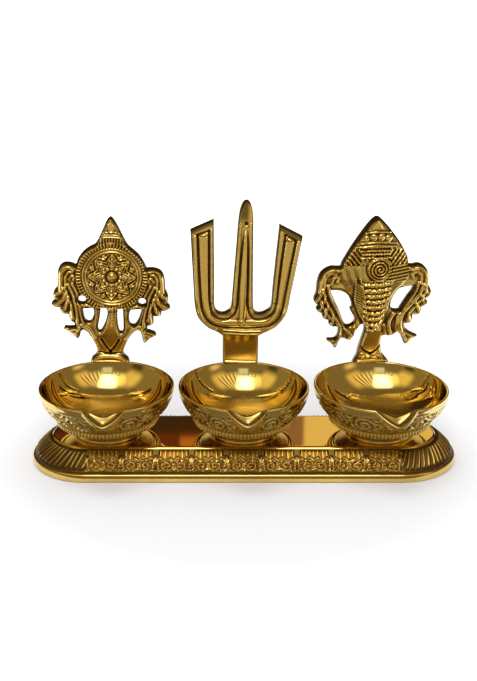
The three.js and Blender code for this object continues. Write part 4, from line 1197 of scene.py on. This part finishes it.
def card(name, middle, size, colour, soft=0.0, facing=(0, 0, 0)):
    """A glowing card that only reflections see, fading out towards its edges."""
    mesh = bpy.data.meshes.new(name)
    half_x, half_y = size[0] / 2, size[1] / 2
    mesh.from_pydata([(-half_x, -half_y, 0), (half_x, -half_y, 0), (half_x, half_y, 0),
                      (-half_x, half_y, 0)], [], [(0, 1, 2, 3)])
    obj = linked(name, mesh)
    aim(obj, middle, facing, "Z")
    obj.visible_camera = obj.visible_diffuse = obj.visible_shadow = False
    material, tree = new_material(name)
    tree.nodes.remove(tree.nodes["Principled BSDF"])
    surface = make(tree, "Emission", {"Color": (*colour, 1)}).outputs[0]
    if soft:
        axes = make(tree, "SeparateXYZ", {0: make(tree, "TexCoord").outputs["Object"]})
        edges = []
        for axis, half in (("X", half_x), ("Y", half_y)):
            fall = make(tree, "MapRange", {
                "Value": number(tree, "ABSOLUTE", axes.outputs[axis]), "From Min": half,
                "From Max": half * (1 - soft),
            }, interpolation_type="SMOOTHSTEP")
            edges.append(fall.outputs[0])
        surface = make(tree, "MixShader", {
            0: number(tree, "MULTIPLY", *edges), 1: make(tree, "BsdfTransparent").outputs[0],
            2: surface,
        }).outputs[0]
    fill(tree, tree.nodes["Material Output"], {"Surface": surface})
    mesh.materials.append(material)


def upright(name, x, y, z, width, height, colour, soft=0.0):
    """A card that stands upright; one in front or behind looks straight along the depth."""
    card(name, (x, y, z), (width, height), colour, soft, (x if y else 0, 0, z))


def hung(name, azimuth, elevation, size, colour, soft, distance=1.7):
    """A card at an angle round from the front and an angle up, turned to the set."""
    a, e = math.radians(azimuth), math.radians(elevation)
    middle = (distance * math.sin(a) * math.cos(e), -distance * math.cos(a) * math.cos(e),
              distance * math.sin(e))
    card(name, middle, size, colour, soft)


# %% The room that the brass mirrors
upright("board_behind", 0, 1.6, 1.15, 3.6, 2.4, (0.05, 0.026, 0.012))
upright("orange_strip_behind", -0.42, 1.5, 0.766, 0.8, 0.1, (0.13, 0.035, 0.012), 0.12)
upright("lit_strip_behind", -0.104, 1.48, 0.757, 0.05, 0.09, (0.52, 0.18, 0.04), 0.3)
upright("gold_board_behind", 0.36, 1.45, 0.69, 0.64, 0.24, (0.86, 0.66, 0.30), 0.08)
upright("grey_edge_behind", 0.095, 1.44, 0.69, 0.05, 0.2, (0.30, 0.17, 0.10), 0.4)
upright("wall_on_the_left", -1.7, 0, 1.15, 3.6, 2.4, (0.25, 0.19, 0.08))
upright("wall_on_the_right", 1.7, 0, 1.15, 3.6, 2.4, (0.22, 0.16, 0.07))
upright("wall_in_front", 0, -1.9, 1.15, 3.8, 2.4, (0.21, 0.16, 0.09))
card("ceiling", (0, 0, 2.3), (3.8, 4.0), (0.18, 0.13, 0.06))
hung("pale_wall_far_left", -56, 45, (1.3, 1.7), (0.85, 0.64, 0.22), 0.7, 1.78)
hung("sunlit_wall", -24, 56, (1.4, 1.6), (1.45, 1.2, 0.6), 0.8, 1.74)
hung("pale_wall_right", 26, 54, (1.4, 1.7), (1.0, 0.82, 0.42), 0.8, 1.76)
hung("dim_wall_far_right", 58, 45, (1.3, 1.7), (0.82, 0.6, 0.22), 0.7, 1.78)
for fold in range(5):
    hung(f"curtain_fold_{fold}", 20 + 9 * fold, 50, (0.08, 1.2), (1.1, 0.88, 0.55), 0.7, 1.68)
    hung(f"curtain_shade_{fold}", 24.5 + 9 * fold, 50, (0.08, 1.2), (0.2, 0.1, 0.04), 0.7, 1.67)
hung("window", -2, 62, (0.95, 1.3), (3.9, 3.6, 3.0), 0.6, 1.6)
hung("lower_window", 2, 33, (0.7, 0.6), (0.72, 0.72, 0.70), 0.6, 1.62)
for bar in range(3):
    hung(f"window_bar_{bar}", -9 - 8 * bar, 37, (0.035, 0.6), (0.3, 0.2, 0.08), 0.5, 1.5)
hung("window_rail", -17, 45, (0.5, 0.035), (0.3, 0.2, 0.08), 0.5, 1.5)
card("low_light_on_the_right", (0.95, -0.62, 0.24), (0.7, 0.5), (0.9, 0.7, 0.42), 1.0, (0, 0, 0.1))
card("dark_cloth_on_the_left", (-0.9, -0.62, 0.24), (0.6, 0.5), (0.08, 0.055, 0.03), 0.7, (0, 0, 0.1))
for name, y, deep, colour in (("dark_cloth_in_front", -0.0865, 0.107, (0.19, 0.155, 0.10)),
                              ("table_in_front", -0.72, 1.16, (0.56, 0.46, 0.28))):
    card(name, (0, y, 0.002), (1.6, deep), colour, facing=(0, y, 1))


# %% Lights
def soft_light(name, middle, target, size, power):
    """A rectangular softbox that lights the paper; the cards above stand in for it in brass."""
    lamp = bpy.data.lights.new(name, "AREA")
    lamp.shape = "RECTANGLE"
    lamp.size, lamp.size_y = size
    lamp.energy = power
    obj = linked(name, lamp)
    aim(obj, middle, target, "-Z")
    obj.visible_glossy = False


soft_light("front_softbox", (0, -0.98, 1.15), (0, 0, 0.04), (0.6, 0.8), 6.5)
soft_light("top_light", (-0.15, 0.1, 1.6), (0, 0, 0), (0.5, 0.5), 5)

# %% [markdown]
# ## Camera
#
# The view was worked out from the rims in the photograph: three circles of known size fix how
# far away and how high the lens stood. It looks down 21.7 degrees from 0.62 m. The focal length
# is in picture points, over the picture's height, and the shifts are shares of that height.

# %% Camera
FOCAL_LENGTH, PICTURE_HEIGHT, SENSOR = 1158.69, 681, 36
lens = bpy.data.cameras.new("camera")
camera = linked("camera", lens)
bpy.context.scene.camera = camera
tilt, distance = math.radians(21.66), 0.61845
camera.location = (0, centre[1] * MM - distance * math.cos(tilt), 0.055 + distance * math.sin(tilt))
camera.rotation_euler = (math.pi / 2 - tilt, 0, 0)
lens.sensor_width = SENSOR
lens.lens = FOCAL_LENGTH / PICTURE_HEIGHT * SENSOR
lens.shift_x = -0.0079
lens.shift_y = 0.0336
lens.clip_start = 0.01
bpy.context.scene.view_settings.view_transform = "Standard"
